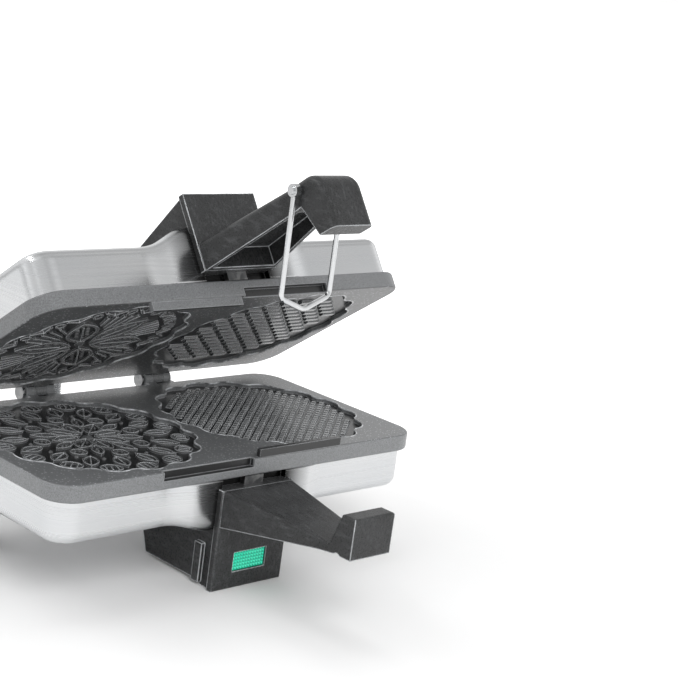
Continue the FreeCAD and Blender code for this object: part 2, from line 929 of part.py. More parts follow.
def indicator_lens():
    """Rectangular lens in the window, with a lip behind the guard's front wall."""
    low = ("-window_width / 2", f"{FACE} + lens_recess", "window_sill")
    high = ("window_width / 2", f"{FACE} + guard_flange", "window_sill + window_height")
    face = box("lens_face", low, high)
    lip_low = ("-window_width / 2 - lens_lip", f"{FACE} + guard_flange", "window_sill - lens_lip")
    lip_high = (
        "window_width / 2 + lens_lip",
        LENS_BACK,
        "window_sill + window_height + lens_lip",
    )
    return fuse("indicator_lens", [face, box("lens_lip", lip_low, lip_high)])


LAMP_Y = f"({LENS_BACK} + lamp_setback + lamp_radius)"
LAMP_Z = "(window_sill + window_height / 2)"


def indicator_lamp():
    foot = ("-lamp_length / 2", LAMP_Y, LAMP_Z)
    return rod("indicator_lamp", foot, "x", "lamp_radius", "lamp_length")


def lamp_holder():
    """Block on the guard's floor with a round saddle for the lamp."""
    floor = "(foot_step + guard_wall)"
    low = ("-lamp_length / 2", f"{LAMP_Y} - holder_depth / 2 + lamp_radius / 2", floor)
    high = ("lamp_length / 2", f"{LAMP_Y} + holder_depth / 2 + lamp_radius / 2", LAMP_Z)
    block = box("holder_block", low, high)
    foot = ("-lamp_length", LAMP_Y, LAMP_Z)
    saddle = rod("holder_saddle", foot, "x", "lamp_radius + seat_gap", "lamp_length * 2")
    return cut("lamp_holder", block, saddle)


# Feet, brackets, fasteners and lead-throughs


def rear_foot(label, hand):
    """Tapered foot under a rear corner of the lower shell."""
    foot = doc.addObject("Part::Cone", label)
    bind(foot, "Radius1", "foot_base_radius")
    bind(foot, "Radius2", "foot_top_radius")
    bind(foot, "Height", FOOT_TOP)
    bind(foot, "Placement.Base.x", f"{hand}({SHELL_HALF} - foot_side)")
    bind(foot, "Placement.Base.y", f"{SHELL_BACK} - foot_inset")
    return foot


def guard_bracket(label, side):
    """Short steel tab that ties a guard to the rim of its plate."""
    near = "plate_height"
    far = "guard_drop - mating_gap / 2"
    foot = base_of(side, near, far)
    low = ("-bracket_half", f"{SHELL_FRONT} - bracket_depth", foot)
    high = ("bracket_half", SHELL_FRONT, f"{foot} + ({far}) - ({near})")
    tab = box(f"{label}_tab" if side == UPPER else label, low, high)
    if side == LOWER:
        return tab
    lid_tab = group(label, [tab])
    open_with_lid(lid_tab)
    return lid_tab


def shell_screws(label, side):
    """Four screws in the outer face of a shell."""
    along = "-z" if side == UPPER else "z"
    far = level(side, "plate_height + shell_height + screw_head_height")
    screws = []
    for x_hand in ("-", "+"):
        for y_hand in ("-", "+"):
            x = f"{x_hand} shell_screw_spread"
            y = f"{MIDDLE} {y_hand} clamp_screw_spread / 2"
            name = f"{label}{x_hand}{y_hand}"
            head = rod(f"{name}_head", (x, y, far), along, "screw_head_radius", "screw_head_height")
            screws.append(head)
    four = group(label, screws)
    if side == UPPER:
        open_with_lid(four)
    return four


def conduit_spans():
    """Centre line of the flexible conduit, from the lower shell to the lid, in two spans."""
    x = -number("conduit_place")
    low_z = number("mating_height - conduit_drop")
    start = FreeCAD.Vector(x, number(f"{SHELL_BACK} - shell_wall"), low_z)
    top_y, top_z = turned(f"{SHELL_BACK} - shell_wall - {HINGE_Y}", "conduit_drop")
    finish = FreeCAD.Vector(x, number(top_y), number(top_z))
    tilt = FreeCAD.Rotation(X_AXIS, -number("lid_angle"))
    outward = tilt.multVec(FreeCAD.Vector(0, 1, 0))
    back = number(f"{HINGE_Y} + conduit_back")
    low_bend = FreeCAD.Vector(x, back, low_z)
    reach = (back - finish.y) / outward.y
    high_bend = finish + outward * reach
    middle = (low_bend + high_bend) * 0.5
    return (start, low_bend, middle), (finish, high_bend, middle)


CONDUIT_ARC_SHARE = 0.9


def conduit(label, points):
    setback = (points[-1] - points[-2]).Length * CONDUIT_ARC_SHARE
    return bent_rod(label, points, number("conduit_radius"), setback)


def conduit_bush(label, side):
    """Flanged ring in a shell's back wall, round the conduit."""
    height = level(side, "conduit_drop - mating_gap / 2")
    foot = ("-conduit_place", SHELL_BACK, height)
    ring = rod(f"{label}_ring", foot, "y", "bush_radius", "bush_flange")
    hole_foot = ("-conduit_place", f"{SHELL_BACK} - bush_flange", height)
    hole = rod(f"{label}_hole", hole_foot, "y", "conduit_radius + seat_gap", "bush_flange * 3")
    bush = cut(label, ring, hole)
    if side == UPPER:
        open_with_lid(bush)
    return bush


def cord_gland():
    """Inlet bush for the supply cord in the lower shell's back wall."""
    height = level(LOWER, "conduit_drop - mating_gap / 2")
    foot = ("gland_place", SHELL_BACK, height)
    bush = rod("gland_bush", foot, "y", "gland_radius", "gland_length")
    bore_foot = ("gland_place", f"{SHELL_BACK} - gland_length", height)
    bore = rod("gland_bore", bore_foot, "y", "conduit_radius", "gland_length * 3")
    return cut("cord_gland", bush, bore)


# The pieces

lower_span, upper_span = conduit_spans()
pieces = [
    baking_plate("lower_plate", LOWER),
    baking_plate("upper_plate", UPPER),
    steel_shell("lower_shell", LOWER),
    steel_shell("upper_shell", UPPER),
    lower_guard(),
    upper_guard(),
    handle("lower_handle", LOWER, TIP, "lower_root_height", "lower_tip_height"),
    handle("upper_handle", UPPER, NOSE, "upper_root_height", "upper_tip_height"),
    latch_bail(),
    latch_pivot(),
    hinge_pins(),
    heater("lower_heater", LOWER),
    heater("upper_heater", UPPER),
    thermostat(),
    thermal_fuse(),
    terminal_block(),
    indicator_lens(),
    indicator_lamp(),
    lamp_holder(),
    rear_foot("left_rear_foot", "-"),
    rear_foot("right_rear_foot", ""),
    conduit("lower_conduit", lower_span),
    conduit("upper_conduit", upper_span),
    cord_gland(),
]
for half, side in (("lower", LOWER), ("upper", UPPER)):
    clamp = ("clamp_width / 2", "clamp_half", CLAMP_NEAR, CLAMP_FAR)
    pieces.append(slab(f"{half}_heater_clamp", side, *clamp, "-+"))
    reflector = ("reflector_half", "reflector_depth_half", CLAMP_FAR, REFLECTOR_FAR)
    pieces.append(slab(f"{half}_reflector", side, *reflector, "-+"))
    pieces.append(clamp_screws(f"{half}_clamp_screws", side))
    pieces.append(guard_bracket(f"{half}_guard_bracket", side))
    pieces.append(shell_screws(f"{half}_shell_screws", side))
    pieces.append(conduit_bush(f"{half}_conduit_bush", side))

doc.recompute()


def check_and_write():
    for obj in doc.Objects:
        if "Invalid" in obj.State or "Error" in obj.State:
            raise RuntimeError(f"{obj.Name} failed: {obj.State}")
    for piece in pieces:
        if piece.Shape.isNull() or not piece.Shape.isValid():
            raise RuntimeError(f"{piece.Label} has no valid shape")
    os.makedirs("parts", exist_ok=True)
    for piece in pieces:
        piece.Shape.exportStep(f"parts/{piece.Label}.step")


check_and_write()
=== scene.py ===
import json
import math
from functools import reduce

import bmesh
import bpy
from mathutils import Euler, Matrix, Vector


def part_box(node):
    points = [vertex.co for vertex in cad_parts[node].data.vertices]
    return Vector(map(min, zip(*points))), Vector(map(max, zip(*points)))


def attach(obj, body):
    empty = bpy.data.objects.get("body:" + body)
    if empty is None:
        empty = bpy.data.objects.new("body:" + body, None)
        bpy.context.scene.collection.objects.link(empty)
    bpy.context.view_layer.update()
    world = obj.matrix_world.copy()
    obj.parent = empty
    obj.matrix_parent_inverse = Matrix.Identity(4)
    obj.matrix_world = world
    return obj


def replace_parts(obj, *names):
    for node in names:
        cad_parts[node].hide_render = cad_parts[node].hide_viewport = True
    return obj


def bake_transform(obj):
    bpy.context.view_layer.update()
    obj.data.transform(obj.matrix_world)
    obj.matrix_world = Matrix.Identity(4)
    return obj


# Looks of a two-plate electric baking iron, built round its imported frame. Metres, +Z up, -Y to the front.

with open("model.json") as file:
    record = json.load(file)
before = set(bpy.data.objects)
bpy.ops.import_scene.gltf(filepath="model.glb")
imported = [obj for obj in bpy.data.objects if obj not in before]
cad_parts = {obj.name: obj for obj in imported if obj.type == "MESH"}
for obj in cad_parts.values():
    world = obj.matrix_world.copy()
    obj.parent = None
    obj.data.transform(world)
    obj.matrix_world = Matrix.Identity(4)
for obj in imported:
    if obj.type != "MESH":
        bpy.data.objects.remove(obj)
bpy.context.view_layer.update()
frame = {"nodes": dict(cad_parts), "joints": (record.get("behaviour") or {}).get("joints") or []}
nodes = frame["nodes"]
joints = {joint["name"]: joint for joint in frame["joints"]}
MM = 0.001

# Lines of the object that the new pieces sit on

HINGE = Vector(joints["lid_close"]["pos_m"])
LID_ANGLE = math.radians(-joints["lid_close"]["range_deg"][0])
PLATE_GAP = 0.6 * MM
PLATE_MIDDLE_Y = 68.5 * MM
CAVITY_X = 65.4 * MM
CAVITY_RADIUS = 60.5 * MM
CAVITY_DEPTH = 2.4 * MM
SCALLOPS = 16
LOWER_FLOOR = HINGE.z - PLATE_GAP / 2 - CAVITY_DEPTH
UPPER_FLOOR = HINGE.z + PLATE_GAP / 2 + CAVITY_DEPTH
UPSIDE_DOWN = Matrix.Scale(-1, 4, (0, 0, 1))
OPEN_LID = (
    Matrix.Translation(HINGE) @ Matrix.Rotation(-LID_ANGLE, 4, "X") @ Matrix.Translation(-HINGE)
)

# Node recipes

MIX_FACTOR, MIX_DARK, MIX_LIGHT, MIX_RESULT = 0, 6, 7, 2
FLOAT = "NodeSocketFloat"
VECTOR = "NodeSocketVector"


class Recipe:
    """Short ways to add and join the nodes of one material or group."""

    def __init__(self, tree):
        self.tree = tree

    def feed(self, socket, value):
        if isinstance(value, bpy.types.NodeSocket):
            self.tree.links.new(value, socket)
        else:
            socket.default_value = value

    def add(self, kind, inputs=None, **settings):
        node = self.tree.nodes.new(kind)
        for name, value in settings.items():
            setattr(node, name, value)
        for name, value in (inputs or {}).items():
            self.feed(node.inputs[name], value)
        return node

    def math(self, operation, first, second=0.0):
        node = self.add("ShaderNodeMath", operation=operation)
        self.feed(node.inputs[0], first)
        self.feed(node.inputs[1], second)
        return node.outputs["Value"]

    def chain(self, operation, values):
        """Several values, joined one after the other."""
        return reduce(lambda total, value: self.math(operation, total, value), values)

    def span(self, value, low, high, start=0.0, stop=1.0):
        """Value from start to stop, spread over low to high."""
        places = {"Value": value, "From Min": start, "From Max": stop, "To Min": low, "To Max": high}
        return self.add("ShaderNodeMapRange", places).outputs["Result"]

    def blend(self, factor, dark, light):
        node = self.add("ShaderNodeMix", data_type="RGBA")
        self.feed(node.inputs[MIX_FACTOR], factor)
        self.feed(node.inputs[MIX_DARK], dark)
        self.feed(node.inputs[MIX_LIGHT], light)
        return node.outputs[MIX_RESULT]

    def spot(self):
        """Object coordinates."""
        return self.add("ShaderNodeTexCoord").outputs["Object"]

    def facing(self):
        """The surface's direction, in the object's own axes."""
        return self.add("ShaderNodeTexCoord").outputs["Normal"]

    def axes(self, vector):
        return self.add("ShaderNodeSeparateXYZ", {"Vector": vector}).outputs

    def place(self, scale, turn=(0.0, 0.0, 0.0)):
        """Object coordinates, turned and scaled."""
        settings = {"Vector": self.spot(), "Rotation": turn, "Scale": scale}
        return self.add("ShaderNodeMapping", settings).outputs["Vector"]

    def tilted(self, vector, angle, centre=(0.0, 0.0, 0.0)):
        """A place or direction, turned about the hinge's way."""
        settings = {"Vector": vector, "Center": centre, "Angle": angle}
        return self.add("ShaderNodeVectorRotate", settings, rotation_type="X_AXIS").outputs["Vector"]

    def noise(self, vector, scale, detail, roughness=0.6):
        settings = {"Vector": vector, "Scale": scale, "Detail": detail, "Roughness": roughness}
        return self.add("ShaderNodeTexNoise", settings).outputs["Fac"]

    def group(self, tree, **inputs):
        node = self.add("ShaderNodeGroup", node_tree=tree)
        for name, value in inputs.items():
            self.feed(node.inputs[name.title()], value)
        return node.outputs

    def bump(self, height, strength, depth, normal=None):
        inputs = {"Height": height, "Strength": strength, "Distance": depth}
        if normal is not None:
            inputs["Normal"] = normal
        return self.add("ShaderNodeBump", inputs).outputs["Normal"]


def new_group(name, inputs, outputs):
    """An empty shader group with float inputs and the named outputs."""
    tree = bpy.data.node_groups.new(name, "ShaderNodeTree")
    for label, value in inputs.items():
        socket = tree.interface.new_socket(label, in_out="INPUT", socket_type=FLOAT)
        socket.default_value = value
    for label, kind in outputs.items():
        tree.interface.new_socket(label, in_out="OUTPUT", socket_type=kind)
    recipe = Recipe(tree)
    return tree, recipe, recipe.add("NodeGroupInput").outputs, recipe.add("NodeGroupOutput").inputs


def edge_group():
    """Where the piece has an edge: a mask for wear and painted highlights, and a normal that rounds the
    edge.
    """
    tree, recipe, given, out = new_group(
        "wear_and_glint_edges", {"Radius": 0.5 * MM, "Wear": 0.6}, {"Edge": FLOAT, "Normal": VECTOR}
    )
    rounded = recipe.add("ShaderNodeBevel", {"Radius": given["Radius"]}, samples=6).outputs["Normal"]
    flat = recipe.add("ShaderNodeNewGeometry").outputs["Normal"]
    alike = recipe.add("ShaderNodeVectorMath", operation="DOT_PRODUCT")
    recipe.feed(alike.inputs[0], rounded)
    recipe.feed(alike.inputs[1], flat)
    turned = recipe.span(alike.outputs["Value"], 1.0, 0.0, 0.88, 0.985)
    rub = recipe.noise(recipe.spot(), scale=90.0, detail=3.0)
    patchy = recipe.span(rub, 0.45, 1.0, 0.3, 0.6)
    recipe.feed(out["Edge"], recipe.chain("MULTIPLY", (turned, patchy, given["Wear"])))
    recipe.feed(out["Normal"], rounded)
    return tree


def grain_group():
    """Fine moulded or cast grain with slow patches over it."""
    tree, recipe, given, out = new_group(
        "surface_grain", {"Fine": 1400.0, "Broad": 30.0}, {"Grain": FLOAT, "Patch": FLOAT}
    )
    spot = recipe.spot()
    recipe.feed(out["Grain"], recipe.noise(spot, given["Fine"], detail=3.0, roughness=0.7))
    recipe.feed(out["Patch"], recipe.noise(spot, given["Broad"], detail=5.0, roughness=0.55))
    return tree


def fleck_group():
    """Small light flecks scattered in a coating."""
    tree, recipe, given, out = new_group(
        "coating_flecks", {"Scale": 900.0, "Share": 0.2}, {"Fleck": FLOAT}
    )
    cells = recipe.add("ShaderNodeTexVoronoi", {"Vector": recipe.spot(), "Scale": given["Scale"]})
    lot = recipe.add("ShaderNodeSeparateColor", {"Color": cells.outputs["Color"]}).outputs["Red"]
    chosen = recipe.math("LESS_THAN", lot, given["Share"])
    round_dot = recipe.span(cells.outputs["Distance"], 1.0, 0.0, 0.15, 0.42)
    recipe.feed(out["Fleck"], recipe.math("MULTIPLY", chosen, round_dot))
    return tree


BRUSH_ALONG = 1.6
BRUSH_ACROSS = 1100.0
LEVEL_FACE = 0.7


def brush_group(name, tilt):
    """Brushed lines that run round the walls of a shell, and lengthwise on its flat face."""
    tree, recipe, _, out = new_group(name, {}, {"Line": FLOAT, "Cloud": FLOAT, "Flat": FLOAT})
    turn = (tilt, 0.0, 0.0)
    round_wall = recipe.place((BRUSH_ALONG, BRUSH_ALONG, BRUSH_ACROSS), turn)
    along_face = recipe.place((BRUSH_ALONG, BRUSH_ACROSS, BRUSH_ALONG), turn)
    wall_line = recipe.noise(round_wall, scale=1.0, detail=2.0)
    face_line = recipe.noise(along_face, scale=1.0, detail=2.0)
    upright = recipe.axes(recipe.tilted(recipe.facing(), tilt))["Z"]
    flat = recipe.math("GREATER_THAN", recipe.math("ABSOLUTE", upright), LEVEL_FACE)
    recipe.feed(out["Flat"], flat)
    recipe.feed(out["Line"], recipe.blend(flat, wall_line, face_line))
    cloud_place = recipe.place((14.0, 14.0, 40.0), turn)
    recipe.feed(out["Cloud"], recipe.noise(cloud_place, scale=1.0, detail=4.0))
    return tree


# Edge mask: wear together with painted highlights along edges.
WEAR_AND_GLINT_EDGES = edge_group()
SURFACE_GRAIN = grain_group()
COATING_FLECKS = fleck_group()
LOWER_BRUSH = brush_group("lower_brush_lines", 0.0)
UPPER_BRUSH = brush_group("upper_brush_lines", LID_ANGLE)

# Finishes

COOL = (0.97, 1.0, 1.03)
WARM = (1.05, 1.0, 0.92)
GRAIN_RANGE = (0.3, 0.7)
PATCH_RANGE = (0.35, 0.7)


def new_finish(name, **sockets):
    """A material whose constant values are set on the shader's own sockets."""
    material = bpy.data.materials.new(name)
    material.use_nodes = True
    shader = material.node_tree.nodes["Principled BSDF"]
    for label, value in sockets.items():
        shader.inputs[label.replace("_", " ").title().replace("Ior", "IOR")].default_value = value
    return material, Recipe(material.node_tree), shader.inputs


def grey(value, tint=(1.0, 1.0, 1.0)):
    return (*[value * part for part in tint], 1.0)


def closed_place(recipe, tilt):
    """Object coordinates, turned back to the closed iron."""
    return recipe.axes(recipe.tilted(recipe.spot(), tilt, HINGE))


def joint_mask(recipe, tilt, boxes):
    """One inside any of the boxes, which are given on the closed iron."""
    axes = closed_place(recipe, tilt)
    masks = []
    for low, high in boxes:
        within = []
        for axis, start, stop in zip("XYZ", low, high):
            off = recipe.math("SUBTRACT", axes[axis], (start + stop) / 2 * MM)
            away = recipe.math("ABSOLUTE", off)
            within.append(recipe.math("LESS_THAN", away, (stop - start) / 2 * MM))
        masks.append(recipe.chain("MULTIPLY", within))
    return recipe.chain("ADD", masks)


# Dark faces of the rib and the groove along the joint, as boxes in millimetres

LOWER_JOINT = [((1, -4, 75), (67, 4, 82)), ((-67, -1, 69), (-1, 4, 74))]
UPPER_JOINT = [((1, -1, 76), (67, 4, 81))]


def cast_coating(name, brush_lines, tilt, joint, skirt_tones, face_tones):
    """Speckled non-stick coat on a casting, with a paler brushed skirt, painted shade on the cavity floors,
    and edges lightened by wear and painted highlights.
    """
    finish, recipe, shader = new_finish(name, coat_weight=0.45, coat_roughness=0.22)
    brush = recipe.group(brush_lines)
    grain = recipe.group(SURFACE_GRAIN, fine=1500.0, broad=22.0)
    fleck = recipe.group(COATING_FLECKS, scale=720.0, share=0.34)["Fleck"]
    edge = recipe.group(WEAR_AND_GLINT_EDGES, radius=0.9 * MM, wear=0.8)
    coat = recipe.blend(grain["Patch"], *(grey(tone, COOL) for tone in face_tones))
    flecked = recipe.blend(fleck, coat, grey(0.44, COOL))
    # Painted shade: the cavity floors are darkened.
    off_joint = recipe.math("SUBTRACT", closed_place(recipe, tilt)["Z"], HINGE.z)
    depth = recipe.math("ABSOLUTE", off_joint)
    sunk = recipe.span(depth, 0.0, 1.0, 0.4 * CAVITY_DEPTH, 0.8 * CAVITY_DEPTH)
    floor_shaded = recipe.blend(sunk, flecked, grey(0.022, COOL))
    rubbed = recipe.span(grain["Grain"], 0.0, 1.0, *GRAIN_RANGE)
    skirt = recipe.blend(rubbed, *(grey(tone, COOL) for tone in skirt_tones))
    keyed = recipe.blend(joint_mask(recipe, tilt, joint), skirt, grey(0.016, COOL))
    body = recipe.blend(brush["Flat"], keyed, floor_shaded)
    # Edges lightened by wear and painted highlights.
    recipe.feed(shader["Base Color"], recipe.blend(edge["Edge"], body, grey(0.42, COOL)))
    recipe.feed(shader["Roughness"], recipe.span(grain["Grain"], 0.26, 0.48, *GRAIN_RANGE))
    height = recipe.math("ADD", grain["Grain"], fleck)
    recipe.feed(shader["Normal"], recipe.bump(height, 0.35, 0.12 * MM, edge["Normal"]))
    return finish


def relief_coating():
    """The coat on the raised patterns, glossier, its crests lightened by painted highlights along with
    wear.
    """
    finish, recipe, shader = new_finish("relief_coat", coat_weight=0.5, coat_roughness=0.12)
    grain = recipe.group(SURFACE_GRAIN, fine=1300.0, broad=60.0)
    edge = recipe.group(WEAR_AND_GLINT_EDGES, radius=0.7 * MM, wear=1.0)
    body = recipe.blend(grain["Patch"], grey(0.05, COOL), grey(0.17, COOL))
    # Painted highlight along with wear: crests and edges lightened.
    recipe.feed(shader["Base Color"], recipe.blend(edge["Edge"], body, grey(0.85, COOL)))
    recipe.feed(shader["Roughness"], recipe.span(grain["Grain"], 0.16, 0.34, *GRAIN_RANGE))
    recipe.feed(shader["Normal"], recipe.bump(grain["Grain"], 0.2, 0.08 * MM, edge["Normal"]))
    return finish


def painted_glint_rim():
    """The coat on the cavity lips, shiny, with pale patches that are a painted highlight along the rim."""
    finish, recipe, shader = new_finish("painted_glint_rim", coat_weight=0.6, coat_roughness=0.08)
    grain = recipe.group(SURFACE_GRAIN, fine=1300.0, broad=140.0)
    glint_patch = recipe.span(grain["Patch"], 0.0, 1.0, 0.38, 0.62)
    # Painted highlight: pale patches along the rim.
    recipe.feed(shader["Base Color"], recipe.blend(glint_patch, grey(0.16, COOL), grey(0.85, COOL)))
    recipe.feed(shader["Roughness"], recipe.span(grain["Grain"], 0.12, 0.26, *GRAIN_RANGE))
    recipe.feed(shader["Normal"], recipe.bump(grain["Grain"], 0.1, 0.05 * MM))
    return finish


def painted_guard_reflection(recipe, tilt):
    """Painted reflection of the black guard: the steel of the front wall goes dark beside the guard."""
    axes = closed_place(recipe, tilt)
    beside_guard = recipe.span(recipe.math("ABSOLUTE", axes["X"]), 1.0, 0.0, 25 * MM, 44 * MM)
    frontal = recipe.span(axes["Y"], 1.0, 0.0, 3 * MM, 22 * MM)
    return recipe.math("MULTIPLY", beside_guard, frontal)


def brushed_steel(name, brush_lines, tilt):
    """Brushed sheet with cloudy tone, a painted reflection of the black guard darkening it beside the
    guard, and edges lightened by wear and painted highlights.
    """
    finish, recipe, shader = new_finish(name, metallic=1.0, anisotropic=0.3)
    brush = recipe.group(brush_lines)
    edge = recipe.group(WEAR_AND_GLINT_EDGES, radius=0.8 * MM, wear=0.5)
    sheet = recipe.blend(brush["Cloud"], grey(0.72, COOL), grey(0.84))
    line = recipe.span(brush["Line"], 0.0, 0.14, *PATCH_RANGE)
    lined = recipe.blend(line, sheet, grey(0.50, COOL))
    # Painted reflection of the black guard, darkening the steel beside it.
    guard_reflected = recipe.blend(painted_guard_reflection(recipe, tilt), lined, grey(0.05))
    recipe.feed(shader["Base Color"], recipe.blend(edge["Edge"], guard_reflected, grey(0.88)))
    recipe.feed(shader["Roughness"], recipe.span(brush["Line"], 0.20, 0.30, *GRAIN_RANGE))
    recipe.feed(shader["Normal"], recipe.bump(brush["Line"], 0.02, 0.03 * MM, edge["Normal"]))
    return finish


def black_moulding():
    """Black moulding with a drawn grain, and light edges that are painted highlights along with wear."""
    finish, recipe, shader = new_finish("black_moulding", specular_ior_level=0.32)
    grain = recipe.group(SURFACE_GRAIN, fine=1100.0, broad=70.0)
    streak = recipe.noise(recipe.place((700.0, 90.0, 420.0)), scale=1.0, detail=3.0, roughness=0.7)
    edge = recipe.group(WEAR_AND_GLINT_EDGES, radius=1.1 * MM, wear=1.0)
    body = recipe.blend(grain["Patch"], grey(0.020), grey(0.050, COOL))
    streaked = recipe.blend(recipe.span(streak, 0.0, 0.7, 0.5, 0.75), body, grey(0.10, COOL))
    # Painted highlight along with wear: the edges are lightened almost to white.
    recipe.feed(shader["Base Color"], recipe.blend(edge["Edge"], streaked, grey(0.95, COOL)))
    recipe.feed(shader["Roughness"], recipe.span(grain["Grain"], 0.20, 0.42, *GRAIN_RANGE))
    height = recipe.math("ADD", grain["Grain"], streak)
    recipe.feed(shader["Normal"], recipe.bump(height, 0.2, 0.10 * MM, edge["Normal"]))
    return finish


def foot_moulding():
    """Matt black moulding of the rear feet and bushes, a little dusty."""
    finish, recipe, shader = new_finish("foot_moulding")
    grain = recipe.group(SURFACE_GRAIN, fine=900.0, broad=60.0)
    edge = recipe.group(WEAR_AND_GLINT_EDGES, radius=0.5 * MM, wear=0.5)
    dust = recipe.span(grain["Patch"], 0.0, 1.0, *PATCH_RANGE)
    body = recipe.blend(dust, grey(0.014), grey(0.034, WARM))
    recipe.feed(shader["Base Color"], recipe.blend(edge["Edge"], body, grey(0.16, WARM)))
    recipe.feed(shader["Roughness"], recipe.span(grain["Grain"], 0.48, 0.72, *GRAIN_RANGE))
    recipe.feed(shader["Normal"], recipe.bump(grain["Grain"], 0.3, 0.15 * MM, edge["Normal"]))
    return finish


def bright_plating(name, dark, light, smooth, dull):
    """Plated or drawn metal with faint scratches and handling marks."""
    finish, recipe, shader = new_finish(name, metallic=1.0)
    grain = recipe.group(SURFACE_GRAIN, fine=2200.0, broad=120.0)
    edge = recipe.group(WEAR_AND_GLINT_EDGES, radius=0.3 * MM, wear=0.4)
    body = recipe.blend(grain["Patch"], grey(dark, COOL), grey(light))
    recipe.feed(shader["Base Color"], recipe.blend(edge["Edge"], body, grey(0.92)))
    recipe.feed(shader["Roughness"], recipe.span(grain["Patch"], smooth, dull, *PATCH_RANGE))
    recipe.feed(shader["Normal"], recipe.bump(grain["Grain"], 0.05, 0.03 * MM, edge["Normal"]))
    return finish


def plated_sheet(name, dark, light):
    """Zinc-bright sheet with crystal patches."""
    finish, recipe, shader = new_finish(name, metallic=1.0)
    crystals = recipe.add("ShaderNodeTexVoronoi", {"Vector": recipe.spot(), "Scale": 420.0})
    parts = recipe.add("ShaderNodeSeparateColor", {"Color": crystals.outputs["Color"]}).outputs
    grain = recipe.group(SURFACE_GRAIN, fine=1500.0, broad=70.0)
    recipe.feed(shader["Base Color"], recipe.blend(parts["Green"], grey(dark, COOL), grey(light)))
    recipe.feed(shader["Roughness"], recipe.span(parts["Green"], 0.26, 0.5))
    recipe.feed(shader["Normal"], recipe.bump(grain["Grain"], 0.08, 0.05 * MM))
    return finish


LENS_DEEP = (0.0, 0.16, 0.10, 1.0)
LENS_PALE = (0.02, 0.40, 0.26, 1.0)
GLOW_FACET_SHADE = (0.0, 0.30, 0.18, 1.0)
GLOW_FACET_LIT = (0.07, 0.92, 0.60, 1.0)


def glowing_lens():
    """Green lens, lit from behind, with painted light and shade on its facets: each glows brighter or
    dimmer by the way it faces.
    """
    finish, recipe, shader = new_finish(
        "green_lens", roughness=0.12, emission_strength=0.65, coat_weight=0.4, coat_roughness=0.05
    )
    grain = recipe.group(SURFACE_GRAIN, fine=1800.0, broad=160.0)
    recipe.feed(shader["Base Color"], recipe.blend(grain["Patch"], LENS_DEEP, LENS_PALE))
    turned = recipe.axes(recipe.facing())
    # Painted light and shade: facet glow set by facing direction.
    facet_painted_light = recipe.span(recipe.math("ADD", turned["Z"], turned["X"]), 0.0, 1.0, -0.6, 0.6)
    recipe.feed(shader["Emission Color"], recipe.blend(facet_painted_light, GLOW_FACET_SHADE, GLOW_FACET_LIT))
    recipe.feed(shader["Normal"], recipe.bump(grain["Grain"], 0.06, 0.05 * MM))
    return finish


GLASS_DEEP = (0.55, 0.9, 0.75, 1.0)
GLASS_PALE = (0.8, 1.0, 0.9, 1.0)


def lamp_glass():
    """Faintly green glass of the small lamp."""
    finish, recipe, shader = new_finish("lamp_glass", transmission_weight=0.6, ior=1.47)
    grain = recipe.group(SURFACE_GRAIN, fine=600.0, broad=200.0)
    recipe.feed(shader["Base Color"], recipe.blend(grain["Patch"], GLASS_DEEP, GLASS_PALE))
    recipe.feed(shader["Roughness"], recipe.span(grain["Grain"], 0.05, 0.18))
    return finish


RESIN_DARK = (0.05, 0.022, 0.012, 1.0)
RESIN_LIGHT = (0.11, 0.05, 0.026, 1.0)
RESIN_WORN = (0.22, 0.13, 0.08, 1.0)


def pressed_resin():
    """Brown pressed resin of the inner fittings."""
    finish, recipe, shader = new_finish("pressed_resin")
    grain = recipe.group(SURFACE_GRAIN, fine=800.0, broad=90.0)
    edge = recipe.group(WEAR_AND_GLINT_EDGES, radius=0.4 * MM, wear=0.5)
    body = recipe.blend(grain["Patch"], RESIN_DARK, RESIN_LIGHT)
    recipe.feed(shader["Base Color"], recipe.blend(edge["Edge"], body, RESIN_WORN))
    recipe.feed(shader["Roughness"], recipe.span(grain["Grain"], 0.4, 0.6))
    recipe.feed(shader["Normal"], recipe.bump(grain["Grain"], 0.15, 0.1 * MM, edge["Normal"]))
    return finish


# One coat on both plates: the lower's tones are set paler, partly a painted sheen, and the upper's darker
# as painted shade.
LOWER_COAT = cast_coating(
    "lower_nonstick_coat",
    LOWER_BRUSH,
    0.0,
    LOWER_JOINT,
    skirt_tones=(0.15, 0.30),
    face_tones=(0.11, 0.22),
)
# Painted shade: darker tones for the plate under the open lid.
UPPER_COAT_PAINTED_SHADE = cast_coating(
    "upper_nonstick_coat_painted_shade",
    UPPER_BRUSH,
    LID_ANGLE,
    UPPER_JOINT,
    skirt_tones=(0.10, 0.24),
    face_tones=(0.05, 0.11),
)
RELIEF = relief_coating()
PAINTED_GLINT_RIM = painted_glint_rim()
LOWER_STEEL = brushed_steel("lower_brushed_steel", LOWER_BRUSH, 0.0)
UPPER_STEEL = brushed_steel("upper_brushed_steel", UPPER_BRUSH, LID_ANGLE)
MOULDING = black_moulding()
FOOT = foot_moulding()
CHROME = bright_plating("bright_wire", dark=0.70, light=0.86, smooth=0.07, dull=0.20)
CONDUIT_METAL = bright_plating("conduit_metal", dark=0.42, light=0.66, smooth=0.18, dull=0.38)
PLATED = plated_sheet("plated_steel", dark=0.22, light=0.42)
REFLECTOR = plated_sheet("reflector_sheet", dark=0.70, light=0.84)
LENS = glowing_lens()
GLASS = lamp_glass()
RESIN = pressed_resin()

